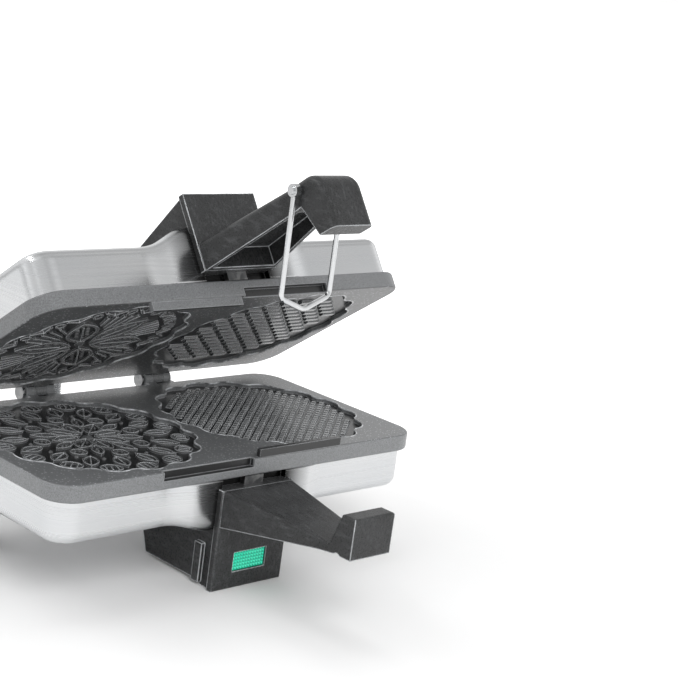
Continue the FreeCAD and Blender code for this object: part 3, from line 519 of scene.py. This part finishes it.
NODE_FINISHES = {
    "lower_plate": LOWER_COAT,
    "upper_plate": UPPER_COAT_PAINTED_SHADE,
    "lower_shell": LOWER_STEEL,
    "upper_shell": UPPER_STEEL,
    "lower_guard": MOULDING,
    "upper_guard": MOULDING,
    "lower_handle": MOULDING,
    "upper_handle": MOULDING,
    "left_rear_foot": FOOT,
    "right_rear_foot": FOOT,
    "cord_gland": FOOT,
    "lower_conduit_bush": FOOT,
    "upper_conduit_bush": FOOT,
    "latch_bail": CHROME,
    "latch_pivot_pin": CHROME,
    "hinge_pins": PLATED,
    "lower_shell_screws": CHROME,
    "upper_shell_screws": CHROME,
    "lower_conduit": CONDUIT_METAL,
    "upper_conduit": CONDUIT_METAL,
    "lower_guard_bracket": PLATED,
    "upper_guard_bracket": PLATED,
    "lower_heater": PLATED,
    "upper_heater": PLATED,
    "lower_heater_clamp": PLATED,
    "upper_heater_clamp": PLATED,
    "lower_clamp_screws": PLATED,
    "upper_clamp_screws": PLATED,
    "lower_reflector": REFLECTOR,
    "upper_reflector": REFLECTOR,
    "indicator_lens": LENS,
    "indicator_lamp": GLASS,
    "lamp_holder": RESIN,
    "terminal_block": RESIN,
    "thermostat": RESIN,
    "thermal_fuse": RESIN,
}
for node_name, node_finish in NODE_FINISHES.items():
    slots = nodes[node_name].data.materials
    slots.clear()
    slots.append(node_finish)

# Ways to make a piece

SHARP = math.radians(32)
MERGE_DISTANCE = 0.002 * MM


def finish_piece(name, bm, finish, body):
    """Turns a mesh outwards, gives it its finish and lets it ride on its body."""
    bmesh.ops.recalc_face_normals(bm, faces=bm.faces)
    mesh = bpy.data.meshes.new(name)
    bm.to_mesh(mesh)
    bm.free()
    mesh.materials.append(finish)
    mesh.polygons.foreach_set("use_smooth", [True] * len(mesh.polygons))
    mesh.set_sharp_from_angle(angle=SHARP)
    piece = bpy.data.objects.new(name, mesh)
    bpy.context.scene.collection.objects.link(piece)
    if body:
        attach(piece, body)
    return piece


def turn_about_z(angle):
    return Matrix.Rotation(angle, 4, "Z")


def verts_in(geom):
    return [item for item in geom if isinstance(item, bmesh.types.BMVert)]


def extrude_faces(bm, faces, keep=False):
    """Draws out a patch of faces, and gives what is new."""
    return bmesh.ops.extrude_face_region(bm, geom=faces, use_keep_orig=keep)["geom"]


def extrude_ring(bm, edges):
    """Draws out a ring of edges, and gives the new ring's vertices and edges."""
    grown = bmesh.ops.extrude_edge_only(bm, edges=edges)["geom"]
    verts = verts_in(grown)
    ring = set(verts)
    new_edges = [item for item in grown if isinstance(item, bmesh.types.BMEdge)]
    return verts, [edge for edge in new_edges if ring.issuperset(edge.verts)]


def lathe(bm, profile, middle, steps):
    """Spins a half profile of (radius, height) points about an upright axis."""
    points = [bm.verts.new(middle + Vector((radius, 0, height))) for radius, height in profile]
    edges = [bm.edges.new(pair) for pair in zip(points, points[1:])]
    bmesh.ops.spin(
        bm,
        geom=points + edges,
        cent=middle,
        axis=(0, 0, 1),
        angle=math.tau,
        steps=steps,
        use_merge=True,
    )
    bmesh.ops.remove_doubles(bm, verts=bm.verts, dist=MERGE_DISTANCE)


# Relief of the baking faces, drawn on a floor at height zero

RIB_HEIGHT = 1.5 * MM
LOW_RIB = 0.8 * RIB_HEIGHT
RIB_EDGE = 0.28 * MM
RIB_DRAFT = 0.62
LOOP_SEGMENTS = 28


def ray(distance, angle):
    return Vector((distance * math.cos(angle), distance * math.sin(angle), 0.0))


def beside(distance, offset, angle):
    """A place along a ray, moved to one side of it."""
    return ray(distance, angle) + ray(offset, angle + math.pi / 2)


def spokes(count):
    """Evenly spread angles, each with the angle halfway to the next."""
    for step in range(count):
        angle = math.tau * step / count
        yield angle, angle + math.pi / count


def soften_top(bm, verts):
    """Bevels the top edges of a rib."""
    tops = [vert for vert in verts if vert.is_valid and vert.co.z > 0.99 * RIB_HEIGHT]
    known = set(tops)
    linked = dict.fromkeys(edge for vert in tops for edge in vert.link_edges)
    edges = [edge for edge in linked if known.issuperset(edge.verts)]
    bmesh.ops.bevel(
        bm,
        geom=[edge for edge in edges if edge.calc_face_angle(0.0) > SHARP],
        offset=RIB_EDGE,
        offset_type="OFFSET",
        affect="EDGES",
        segments=2,
        profile=0.5,
        material=-1,
    )


def bar(bm, middle, angle, length, width, height=RIB_HEIGHT):
    """A straight rib with drafted sides."""
    made = bmesh.ops.create_cube(bm, size=1.0)["verts"]
    for vert in made:
        top = vert.co.z > 0
        draft = RIB_DRAFT if top else 1.0
        vert.co = Vector((vert.co.x * length, vert.co.y * width * draft, height if top else 0.0))
    bmesh.ops.transform(bm, matrix=Matrix.Translation(middle) @ turn_about_z(angle), verts=made)


def loop_rib(bm, middle, angle, length, width, rim, pointed):
    """A raised closed line."""
    made = bmesh.ops.create_circle(bm, cap_ends=True, segments=LOOP_SEGMENTS, radius=0.5)["verts"]
    face = made[0].link_faces[0]
    for vert in made:
        pinch = math.sqrt(max(0.0, 1 - (2 * vert.co.x) ** 2)) if pointed else 1.0
        vert.co = Vector((vert.co.x * length, vert.co.y * width * pinch, 0.0))
    bmesh.ops.transform(bm, matrix=Matrix.Translation(middle) @ turn_about_z(angle), verts=made)
    bm.normal_update()
    ring = bmesh.ops.inset_region(
        bm, faces=[face], thickness=rim, use_boundary=True, use_even_offset=not pointed
    )["faces"]
    bmesh.ops.delete(bm, geom=[face], context="FACES_ONLY")
    raised = verts_in(extrude_faces(bm, ring, keep=True))
    bmesh.ops.translate(bm, vec=(0, 0, RIB_HEIGHT), verts=raised)
    soften_top(bm, raised)


def petal(bm, middle, angle, length, width, rim):
    """A raised line with a point at each end."""
    loop_rib(bm, middle, angle, length, width, rim, pointed=True)


def oval(bm, middle, angle, length, width, rim):
    """A raised line that is round, or longer one way."""
    loop_rib(bm, middle, angle, length, width, rim, pointed=False)


def dot(bm, middle, radius, height=RIB_HEIGHT):
    """A low round boss."""
    made = bmesh.ops.create_icosphere(bm, subdivisions=2, radius=1.0)["verts"]
    shape = Matrix.Translation(middle) @ Matrix.Diagonal((radius, radius, height, 1.0))
    bmesh.ops.transform(bm, matrix=shape, verts=made)


def star_rosette(bm):
    """A star of petals with veins and seeds, ringed by scallops and rays."""
    dot(bm, Vector(), radius=3.2 * MM)
    for angle, between in spokes(8):
        petal(bm, ray(14.5 * MM, angle), angle, length=19 * MM, width=11 * MM, rim=1.1 * MM)
        bar(bm, ray(14 * MM, angle), angle, length=11 * MM, width=0.9 * MM, height=LOW_RIB)
        for seed in (10.5, 18.0):
            spread = math.radians(90 / seed)
            for side in (-1, 1):
                dot(bm, ray(seed * MM, angle + spread * side), radius=0.75 * MM, height=LOW_RIB)
        petal(bm, ray(24 * MM, between), between, length=17 * MM, width=7.5 * MM, rim=1.0 * MM)
        dot(bm, ray(22 * MM, between), radius=1.1 * MM)
        dot(bm, ray(26 * MM, between), radius=0.9 * MM)
        bud = ray(30.5 * MM, angle)
        oval(bm, bud, angle, length=10 * MM, width=10 * MM, rim=1.0 * MM)
        for turn, _ in spokes(6):
            dot(bm, bud + ray(2.6 * MM, angle + turn), radius=0.8 * MM, height=LOW_RIB)
    for angle, between in spokes(SCALLOPS):
        petal(bm, ray(44 * MM, between), between, length=17 * MM, width=9.5 * MM, rim=1.1 * MM)
        bar(bm, ray(43.5 * MM, between), between, length=10 * MM, width=0.9 * MM, height=LOW_RIB)
        oval(bm, ray(54.5 * MM, angle), angle, length=11 * MM, width=13 * MM, rim=1.1 * MM)
        for side in (-1, 0, 1):
            spot = ray(55 * MM, angle + math.radians(3.4) * side)
            bar(bm, spot, angle, length=6 * MM, width=0.9 * MM)
        dot(bm, ray(38 * MM, angle), radius=1.3 * MM)


def broad_rosette(bm):
    """Six veined petals with seeds, fans of rays between them, and chevrons and rings at the rim."""
    dot(bm, Vector(), radius=3.2 * MM)
    for angle, between in spokes(6):
        petal(bm, ray(25 * MM, angle), angle, length=37 * MM, width=19 * MM, rim=2.0 * MM)
        for seed in (18, 24, 30):
            for side in (-1, 1):
                dot(bm, beside(seed * MM, 2.8 * MM * side, angle), radius=1.6 * MM)
        bar(bm, ray(25 * MM, angle), angle, length=22 * MM, width=1.3 * MM)
        for side in (-2, -1, 0, 1, 2):
            spread = between + math.radians(6.5) * side
            reach = (36 + 2 * abs(side)) * MM
            bar(bm, ray(reach, spread), spread, length=(20 - 4 * abs(side)) * MM, width=1.9 * MM)
    lean = math.radians(50)
    for ring_angle, angle in spokes(SCALLOPS):
        for side in (-1, 1):
            arm = beside(52.5 * MM, 3.2 * MM * side, angle)
            bar(bm, arm, angle + lean * side, length=8.5 * MM, width=2.2 * MM)
        dot(bm, ray(55 * MM, angle), radius=1.3 * MM)
        oval(bm, ray(52.5 * MM, ring_angle), ring_angle, length=8 * MM, width=6 * MM, rim=1.2 * MM)


POINT_PITCH = 7.6 * MM
POINT_MARGIN = 3.4 * MM
POINT_FOOT = 3.3 * MM
POINT_TOP = 1.7 * MM
POINT_SQUASH = 0.84


def diamond_grid(bm):
    """Rows of blunt four-sided points, with a lattice of grooves between them."""
    count = int(CAVITY_RADIUS / POINT_PITCH) * 2
    flatten = Matrix.Diagonal((1.0, POINT_SQUASH, 1.0, 1.0))
    for row in range(-count, count + 1):
        for column in range(-count, count + 1):
            x = (row + column) * POINT_PITCH * 0.5
            y = (row - column) * POINT_PITCH * 0.5 * POINT_SQUASH
            if math.hypot(x, y) > CAVITY_RADIUS - POINT_MARGIN:
                continue
            made = bmesh.ops.create_cone(
                bm,
                cap_ends=True,
                segments=4,
                radius1=POINT_FOOT,
                radius2=POINT_TOP,
                depth=RIB_HEIGHT,
            )["verts"]
            lift = Matrix.Translation((x, y, RIB_HEIGHT / 2))
            bmesh.ops.transform(bm, matrix=lift @ flatten, verts=made)


BAND_SLANT = math.radians(45)
BAND_PITCH = 10.5 * MM
BAND_COUNT = 6
RUNG_PITCH = 9.4 * MM
RUNG_LENGTH = 10.2 * MM
RUNG_WIDTH = 4.6 * MM
RUNG_MARGIN = 8.5 * MM


def hatched_bands(bm):
    """Bands of level rungs, parted by slanting grooves."""
    for band in range(-BAND_COUNT, BAND_COUNT):
        for rung in range(-BAND_COUNT, BAND_COUNT + 1):
            spot = beside(rung * RUNG_PITCH, (band + 0.5) * BAND_PITCH, BAND_SLANT)
            if spot.length < CAVITY_RADIUS - RUNG_MARGIN:
                bar(bm, spot, 0.0, length=RUNG_LENGTH, width=RUNG_WIDTH)


TO_LOWER = Matrix.Translation((0, PLATE_MIDDLE_Y, LOWER_FLOOR))
TO_UPPER = OPEN_LID @ Matrix.Translation((0, PLATE_MIDDLE_Y, UPPER_FLOOR)) @ UPSIDE_DOWN


def relief(name, draw, x, place, body):
    """Draws one pattern and lays it on the floor of its cavity."""
    bm = bmesh.new()
    draw(bm)
    bmesh.ops.transform(bm, matrix=place @ Matrix.Translation((x, 0, 0)), verts=bm.verts)
    finish_piece(name, bm, RELIEF, body)


relief("lower_rosette_relief", star_rosette, -CAVITY_X, TO_LOWER, "base")
relief("lower_lattice_relief", diamond_grid, CAVITY_X, TO_LOWER, "base")
relief("upper_rosette_relief", broad_rosette, -CAVITY_X, TO_UPPER, "lid")
relief("upper_hatched_relief", hatched_bands, CAVITY_X, TO_UPPER, "lid")

# Lips round the scalloped cavities, coated pale as a painted highlight

SCALLOP_RING = 51 * MM
SCALLOP_RADIUS = 13 * MM
LIP_SEGMENTS = 20 * SCALLOPS
LIP_PROFILE = [(0.8, 0.0), (0.45, 0.18), (0.1, 0.2), (-0.12, 0.05), (-0.2, -0.6)]


def rim_radius(angle):
    """Distance from a cavity's middle to its scalloped rim."""
    lobe = math.tau / SCALLOPS
    off = angle - round(angle / lobe) * lobe
    side = SCALLOP_RING * math.sin(off)
    reach = SCALLOP_RING * math.cos(off) + math.sqrt(SCALLOP_RADIUS**2 - side**2)
    return max(CAVITY_RADIUS, reach)


def cavity_lip(bm, x):
    """A low rounded bead that follows the rim, drawn on the plate's face at height zero."""
    verts = bmesh.ops.create_circle(bm, segments=LIP_SEGMENTS, radius=CAVITY_RADIUS)["verts"]
    edges = list(dict.fromkeys(edge for vert in verts for edge in vert.link_edges))
    first = edges
    bead = []
    for step, (reach, height) in enumerate(LIP_PROFILE):
        if step:
            verts, edges = extrude_ring(bm, edges)
        for vert in verts:
            angle = math.atan2(vert.co.y, vert.co.x)
            vert.co = ray(rim_radius(angle) + reach * MM, angle) + Vector((0, 0, height * MM))
        bead += verts
    bmesh.ops.bridge_loops(bm, edges=first + edges)
    bmesh.ops.translate(bm, vec=(x, 0, 0), verts=bead)


def cavity_lips(name, place, body):
    """Both lips of one plate."""
    bm = bmesh.new()
    for x in (-CAVITY_X, CAVITY_X):
        cavity_lip(bm, x)
    lift = Matrix.Translation((0, 0, CAVITY_DEPTH))
    bmesh.ops.transform(bm, matrix=place @ lift, verts=bm.verts)
    finish_piece(name, bm, PAINTED_GLINT_RIM, body)


cavity_lips("lower_cavity_lips", TO_LOWER, "base")
cavity_lips("upper_cavity_lips", TO_UPPER, "lid")

# Indicator lens with small pyramids on its face

LENS_LIP = 1.5 * MM
PRISM_HEIGHT = 0.8 * MM
PRISM_COLUMNS = 12
PRISM_ROWS = 6


def prism_lens():
    """A block with a flange behind and rows of pyramids in front."""
    low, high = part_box("indicator_lens")
    size = high - low
    width = size.x - 2 * LENS_LIP
    height = size.z - 2 * LENS_LIP
    bm = bmesh.new()
    face = bmesh.ops.create_grid(
        bm, x_segments=PRISM_COLUMNS, y_segments=PRISM_ROWS, size=0.5
    )["verts"]
    bmesh.ops.scale(bm, vec=(width, height, 1.0), verts=face)
    rim = [edge for edge in bm.edges if edge.is_boundary]
    bmesh.ops.poke(bm, faces=bm.faces, offset=PRISM_HEIGHT)
    back, back_rim = extrude_ring(bm, rim)
    bmesh.ops.translate(bm, vec=(0, 0, LENS_LIP + PRISM_HEIGHT - size.y), verts=back)
    cap = bmesh.ops.contextual_create(bm, geom=back_rim)["faces"]
    flange = extrude_faces(bm, cap)
    bmesh.ops.scale(bm, vec=(size.x / width, size.z / height, 1.0), verts=verts_in(flange))
    lip = [item for item in flange if isinstance(item, bmesh.types.BMFace)]
    bmesh.ops.translate(bm, vec=(0, 0, -LENS_LIP), verts=verts_in(extrude_faces(bm, lip)))
    middle = Vector((0, low.y + PRISM_HEIGHT, (low.z + high.z) / 2))
    place = Matrix.Translation(middle) @ Matrix.Rotation(math.pi / 2, 4, "X")
    bmesh.ops.transform(bm, matrix=place, verts=bm.verts)
    piece = finish_piece("prism_lens", bm, LENS, "base")
    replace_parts(piece, "indicator_lens")


prism_lens()

# Flexible conduit of wound strip, in two spans

CONDUIT_X = -14 * MM
CONDUIT_RADIUS = 3.5 * MM
CONDUIT_SEGMENTS = 24
ROUTE_STEPS = 40
WINDING_PITCH = 1.5 * MM
WINDING_SWELL = (0.86, 1.0, 1.0, 0.86)
CONDUIT_MIDDLE = (CONDUIT_X, 170.5 * MM, 69.5 * MM)
LOWER_ROUTE = [
    (CONDUIT_X, 134.5 * MM, 55 * MM),
    (CONDUIT_X, 154 * MM, 55 * MM),
    (CONDUIT_X, 170.5 * MM, 55 * MM),
    CONDUIT_MIDDLE,
]
UPPER_ROUTE = [
    (CONDUIT_X, 148.5 * MM, 99.4 * MM),
    (CONDUIT_X, 159.5 * MM, 91.7 * MM),
    (CONDUIT_X, 170.5 * MM, 84 * MM),
    CONDUIT_MIDDLE,
]


def smooth_line(name, route):
    """Points read from a smooth spline along a route."""
    curve = bpy.data.curves.new(name, "CURVE")
    curve.dimensions = "3D"
    curve.resolution_u = ROUTE_STEPS
    spline = curve.splines.new("NURBS")
    spline.points.add(len(route) - 1)
    for point, spot in zip(spline.points, route):
        point.co = (*spot, 1.0)
    spline.use_endpoint_u = True
    spline.order_u = 3
    holder = bpy.data.objects.new(name, curve)
    line = bpy.data.meshes.new_from_object(holder)
    points = [vert.co.copy() for vert in line.vertices]
    bpy.data.objects.remove(holder)
    bpy.data.curves.remove(curve)
    bpy.data.meshes.remove(line)
    return points


def walk(points, step):
    """Places a step apart along a line, each with the line's direction there."""
    carried = 0.0
    for here, after in zip(points, points[1:]):
        stretch = (after - here).length
        way = (after - here).normalized()
        while carried <= stretch:
            yield here + way * carried, way
            carried += step
        carried -= stretch


def wound_conduit(name, route, node):
    """A tube drawn out ring by ring, whose rings swell and narrow as the strip winds round."""
    bm = bmesh.new()
    ring = bmesh.ops.create_circle(bm, cap_ends=True, segments=CONDUIT_SEGMENTS, radius=1.0)["verts"]
    shape = [vert.co.copy() for vert in ring]
    edges = bm.edges[:]
    step = WINDING_PITCH / len(WINDING_SWELL)
    for index, (spot, way) in enumerate(walk(smooth_line(name, route), step)):
        if index:
            ring, edges = extrude_ring(bm, edges)
        size = CONDUIT_RADIUS * WINDING_SWELL[index % len(WINDING_SWELL)]
        turn = way.to_track_quat("Z", "X").to_matrix()
        for vert, corner in zip(ring, shape):
            vert.co = spot + turn @ (corner * size)
    bmesh.ops.contextual_create(bm, geom=edges)
    piece = finish_piece(name, bm, CONDUIT_METAL, None)
    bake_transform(piece)
    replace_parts(piece, node)


wound_conduit(
    "lower_wound_conduit",
    LOWER_ROUTE,
    "lower_conduit",
)
wound_conduit(
    "upper_wound_conduit",
    UPPER_ROUTE,
    "upper_conduit",
)

# Steel shoulders that sweep out from the shells to the sides of the guards

SHELL_FACE = 35.3 * MM
SHELL_EDGE = 6.0 * MM
SHELL_FRONT_Y = 1.5 * MM
SHELL_MOUTH = 10.5 * MM
BULGE_DEPTH = 4.4 * MM
BULGE_REACH = 63 * MM
BULGE_SLOPE = 27 * MM
GUARD_SIDE = 24.2 * MM
SHOULDER_SPAN = 40 * MM
SHOULDER_DEPTH = 46 * MM
SHOULDER_SINK = 0.03 * MM
SHOULDER_SHEET = 0.8 * MM
SHOULDER_COLUMNS = 28
SHOULDER_ROWS = 20
BACK_SINK = 4 * SHOULDER_SINK
SWELL_START = 0.2
WALL_END = 0.25
CURL_END = 0.55
LOWER_RISE = 5.5 * MM
UPPER_RISE = 8.5 * MM


def eased(value):
    """Zero to one with soft ends."""
    held = min(1.0, max(0.0, value))
    return held**3 * (held * (6 * held - 15) + 10)


def shoulder_spot(hand, rise, near, run):
    """Point of a shoulder: near is one at the guard, run goes from the wall's foot to the back."""
    x = GUARD_SIDE + (1 - near) * SHOULDER_SPAN
    swell = eased((near - SWELL_START) / (1 - SWELL_START))
    sink = SHOULDER_SINK * (1 - 2 * swell)
    front = SHELL_FRONT_Y - BULGE_DEPTH * eased((BULGE_REACH - x) / BULGE_SLOPE) + sink
    top = SHELL_FACE + rise * swell - sink
    if run < WALL_END:
        height = SHELL_MOUTH + (top - SHELL_EDGE - SHELL_MOUTH) * run / WALL_END
        return Vector((hand * x, front, height))
    if run < CURL_END:
        angle = (run - WALL_END) / (CURL_END - WALL_END) * math.pi / 2
        y = front + SHELL_EDGE * (1 - math.cos(angle))
        return Vector((hand * x, y, top - SHELL_EDGE * (1 - math.sin(angle))))
    back = (run - CURL_END) / (1 - CURL_END)
    start = front + SHELL_EDGE
    fallen = (rise * swell + BACK_SINK) * eased(back)
    return Vector((hand * x, start + (SHOULDER_DEPTH - start) * back, top - fallen))


def shoulder(name, hand, rise, place, finish, body):
    """A bent sheet that leads from a shell to one side of its guard."""
    bm = bmesh.new()
    sheet = bmesh.ops.create_grid(
        bm, x_segments=SHOULDER_COLUMNS, y_segments=SHOULDER_ROWS, size=0.5
    )["verts"]
    for vert in sheet:
        vert.co = shoulder_spot(hand, rise, vert.co.x + 0.5, vert.co.y + 0.5)
    inner = verts_in(extrude_faces(bm, bm.faces[:], keep=True))
    bmesh.ops.translate(bm, vec=(0, SHOULDER_SHEET, -SHOULDER_SHEET), verts=inner)
    bmesh.ops.transform(bm, matrix=place, verts=bm.verts)
    finish_piece(name, bm, finish, body)


FROM_MATING = Matrix.Translation((0, 0, HINGE.z))
LOWER_OUTWARD = FROM_MATING @ UPSIDE_DOWN
UPPER_OUTWARD = OPEN_LID @ FROM_MATING
for side_name, side_hand in (("left", -1), ("right", 1)):
    shoulder(f"lower_{side_name}_shoulder", side_hand, LOWER_RISE, LOWER_OUTWARD, LOWER_STEEL, "base")
    shoulder(f"upper_{side_name}_shoulder", side_hand, UPPER_RISE, UPPER_OUTWARD, UPPER_STEEL, "lid")

# Screws in the outer faces of the shells

SCREW_X = 88 * MM
SCREW_Y = 24 * MM
SCREW_RADIUS = 3.8 * MM
SCREW_HEIGHT = 2.2 * MM
SCREW_SEGMENTS = 28
SLOT_HALF = 0.5 * MM
FIRST_SLOT = math.radians(25)
NEXT_SLOT = math.radians(50)
SLOT_FLOOR = 0.5 * SCREW_HEIGHT
CORE_RADIUS = 0.97 * SCREW_RADIUS
DOME = [(0.0, 0.0), (1.0, 0.0), (1.0, 0.45), (0.93, 0.72), (0.7, 0.9), (0.35, 0.98), (0.0, 1.0)]


def half_head(side, place):
    """The part of a domed head on one side of its slot."""
    half = bmesh.new()
    lathe(half, [(x * SCREW_RADIUS, z * SCREW_HEIGHT) for x, z in DOME], Vector(), SCREW_SEGMENTS)
    bmesh.ops.bisect_plane(
        half,
        geom=half.verts[:] + half.edges[:] + half.faces[:],
        plane_co=(0, SLOT_HALF * side, 0),
        plane_no=(0, -side, 0),
        clear_outer=True,
    )
    bmesh.ops.holes_fill(half, edges=half.edges[:])
    bmesh.ops.transform(half, matrix=place, verts=half.verts)
    mesh = bpy.data.meshes.new("half_head")
    half.to_mesh(mesh)
    half.free()
    return mesh


def slotted_head(bm, middle, angle):
    """A domed head that is cut by a straight slot."""
    place = Matrix.Translation(middle) @ turn_about_z(angle)
    for side in (-1, 1):
        mesh = half_head(side, place)
        bm.from_mesh(mesh)
        bpy.data.meshes.remove(mesh)
    core = bmesh.ops.create_cone(
        bm,
        cap_ends=True,
        segments=SCREW_SEGMENTS,
        radius1=CORE_RADIUS,
        radius2=CORE_RADIUS,
        depth=SLOT_FLOOR,
    )["verts"]
    bmesh.ops.translate(bm, vec=middle + Vector((0, 0, SLOT_FLOOR / 2)), verts=core)


def shell_screws(name, node, place, body):
    """Four heads, each turned its own way."""
    bm = bmesh.new()
    corners = [(x, y) for x in (-SCREW_X, SCREW_X) for y in (-SCREW_Y, SCREW_Y)]
    for index, (x, y) in enumerate(corners):
        slotted_head(bm, Vector((x, y, 0)), FIRST_SLOT + NEXT_SLOT * index)
    bmesh.ops.transform(bm, matrix=place, verts=bm.verts)
    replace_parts(finish_piece(name, bm, CHROME, body), node)


FACE_DOWN = Matrix.Rotation(math.pi, 4, "X")
LOWER_FACE = Matrix.Translation((0, PLATE_MIDDLE_Y, HINGE.z - SHELL_FACE)) @ FACE_DOWN
UPPER_FACE = OPEN_LID @ Matrix.Translation((0, PLATE_MIDDLE_Y, HINGE.z + SHELL_FACE))
shell_screws("lower_slotted_screws", "lower_shell_screws", LOWER_FACE, "base")
shell_screws("upper_slotted_screws", "upper_shell_screws", UPPER_FACE, "lid")

# Rear feet with a soft pad and a stepped collar, as (radius, height) in millimetres

PAD = [(0.0, 0.0), (8.6, 0.0), (9.6, 0.5), (9.9, 2.0), (9.9, 5.0)]
GROOVE = [(9.4, 5.4), (9.4, 6.2), (10.4, 6.8)]
COLLAR_BELOW_TOP = [(12.9, -5.0), (13.4, -4.4), (14.0, -3.4), (14.0, 0.0), (0.0, 0.0)]
FOOT_SEGMENTS = 48


def rear_foot(name, node):
    """A turned foot, as tall as the plain one that it replaces."""
    low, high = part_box(node)
    middle = Vector(((low.x + high.x) / 2, (low.y + high.y) / 2, 0.0))
    profile = [(radius * MM, height * MM) for radius, height in PAD + GROOVE]
    profile += [(radius * MM, high.z + height * MM) for radius, height in COLLAR_BELOW_TOP]
    bm = bmesh.new()
    lathe(bm, profile, middle, FOOT_SEGMENTS)
    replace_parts(finish_piece(name, bm, FOOT, "base"), node)


rear_foot("left_stepped_foot", "left_rear_foot")
rear_foot("right_stepped_foot", "right_rear_foot")

# Floor, light and camera

FLOOR_HALF = 30.0
SHADE_END = 0.22
WHITE_START = 0.75
SOFT_LIGHT = 0.55
OVERHEAD_DIM = 0.74
CARD_DIM = 0.58


def floor_finish():
    """Pale near the object, where its shadow falls, and white further off."""
    finish, recipe, shader = new_finish(
        "pale_floor", roughness=0.9, specular_ior_level=0.1, emission_strength=1.0
    )
    grain = recipe.group(SURFACE_GRAIN, fine=400.0, broad=6.0)
    recipe.feed(shader["Base Color"], recipe.blend(grain["Patch"], grey(0.86), grey(0.90)))
    length = recipe.add("ShaderNodeVectorMath", {"Vector": recipe.spot()}, operation="LENGTH")
    away = recipe.span(length.outputs["Value"], 0.06, 1.0, SHADE_END, WHITE_START)
    seen = recipe.add("ShaderNodeLightPath").outputs["Is Camera Ray"]
    recipe.feed(shader["Emission Color"], recipe.math("MULTIPLY", seen, away))
    return finish


def pale_floor():
    bm = bmesh.new()
    bmesh.ops.create_grid(bm, x_segments=1, y_segments=1, size=FLOOR_HALF)
    mesh = bpy.data.meshes.new("floor")
    bm.to_mesh(mesh)
    bm.free()
    mesh.materials.append(floor_finish())
    floor = bpy.data.objects.new("floor", mesh)
    bpy.context.scene.collection.objects.link(floor)


def white_room():
    """White where it is seen, softer as light, and dimmer overhead where metal mirrors it."""
    world = bpy.data.worlds.new("studio")
    world.use_nodes = True
    bpy.context.scene.world = world
    recipe = Recipe(world.node_tree)
    way = recipe.add("ShaderNodeTexCoord").outputs["Generated"]
    cards = recipe.span(recipe.noise(way, scale=1.7, detail=1.0), CARD_DIM, 1.0, 0.35, 0.6)
    fading = recipe.span(recipe.axes(way)["Z"], 1.0, OVERHEAD_DIM, 0.0, 0.9)
    path = recipe.add("ShaderNodeLightPath").outputs
    lit = recipe.span(path["Is Glossy Ray"], SOFT_LIGHT, recipe.math("MULTIPLY", cards, fading))
    seen = recipe.math("MAXIMUM", path["Is Camera Ray"], path["Is Transmission Ray"])
    back = world.node_tree.nodes["Background"].inputs
    back["Color"].default_value = grey(1.0)
    recipe.feed(back["Strength"], recipe.span(seen, lit, 1.0))


OBJECT_MIDDLE = Vector((0.0, 0.03, 0.1))


def soft_lamp(name, spot, size, power, mirrored=False):
    """A rectangular lamp that faces the object."""
    lamp = bpy.data.lights.new(name, "AREA")
    lamp.shape = "RECTANGLE"
    lamp.size, lamp.size_y = size
    lamp.energy = power
    holder = bpy.data.objects.new(name, lamp)
    holder.location = spot
    holder.visible_glossy = mirrored
    holder.rotation_euler = (OBJECT_MIDDLE - Vector(spot)).to_track_quat("-Z", "Y").to_euler()
    bpy.context.scene.collection.objects.link(holder)


pale_floor()
white_room()
soft_lamp("key_lamp", spot=(-0.55, -1.25, 1.25), size=(1.0, 0.8), power=13.0)
soft_lamp("fill_lamp", spot=(1.5, -0.7, 0.8), size=(0.9, 0.9), power=6.0)
soft_lamp("top_lamp", spot=(0.1, 0.5, 1.7), size=(1.4, 1.0), power=9.0)
soft_lamp("edge_lamp", spot=(-0.9, 0.7, 1.2), size=(1.6, 0.07), power=4.0, mirrored=True)

VIEW_SPOT = Vector((-634.7, -655.9, 361.2)) * MM
VIEW_AZIMUTH = math.radians(-46.5)
VIEW_ELEVATION = math.radians(13.4)
VIEW_ROLL = math.radians(8.0)
PHOTO_HEIGHT = 696
FOCAL_PIXELS = 1696


def photo_camera():
    """The camera, as it was fitted to the photo."""
    camera = bpy.data.cameras.new("photo_camera")
    camera.lens = FOCAL_PIXELS / PHOTO_HEIGHT * camera.sensor_width
    camera.clip_start = 0.01
    holder = bpy.data.objects.new("photo_camera", camera)
    level = Euler((math.pi / 2 - VIEW_ELEVATION, 0.0, VIEW_AZIMUTH)).to_matrix().to_4x4()
    holder.matrix_world = Matrix.Translation(VIEW_SPOT) @ level @ turn_about_z(VIEW_ROLL)
    bpy.context.scene.collection.objects.link(holder)
    bpy.context.scene.camera = holder


photo_camera()
bpy.context.scene.view_settings.view_transform = "Standard"
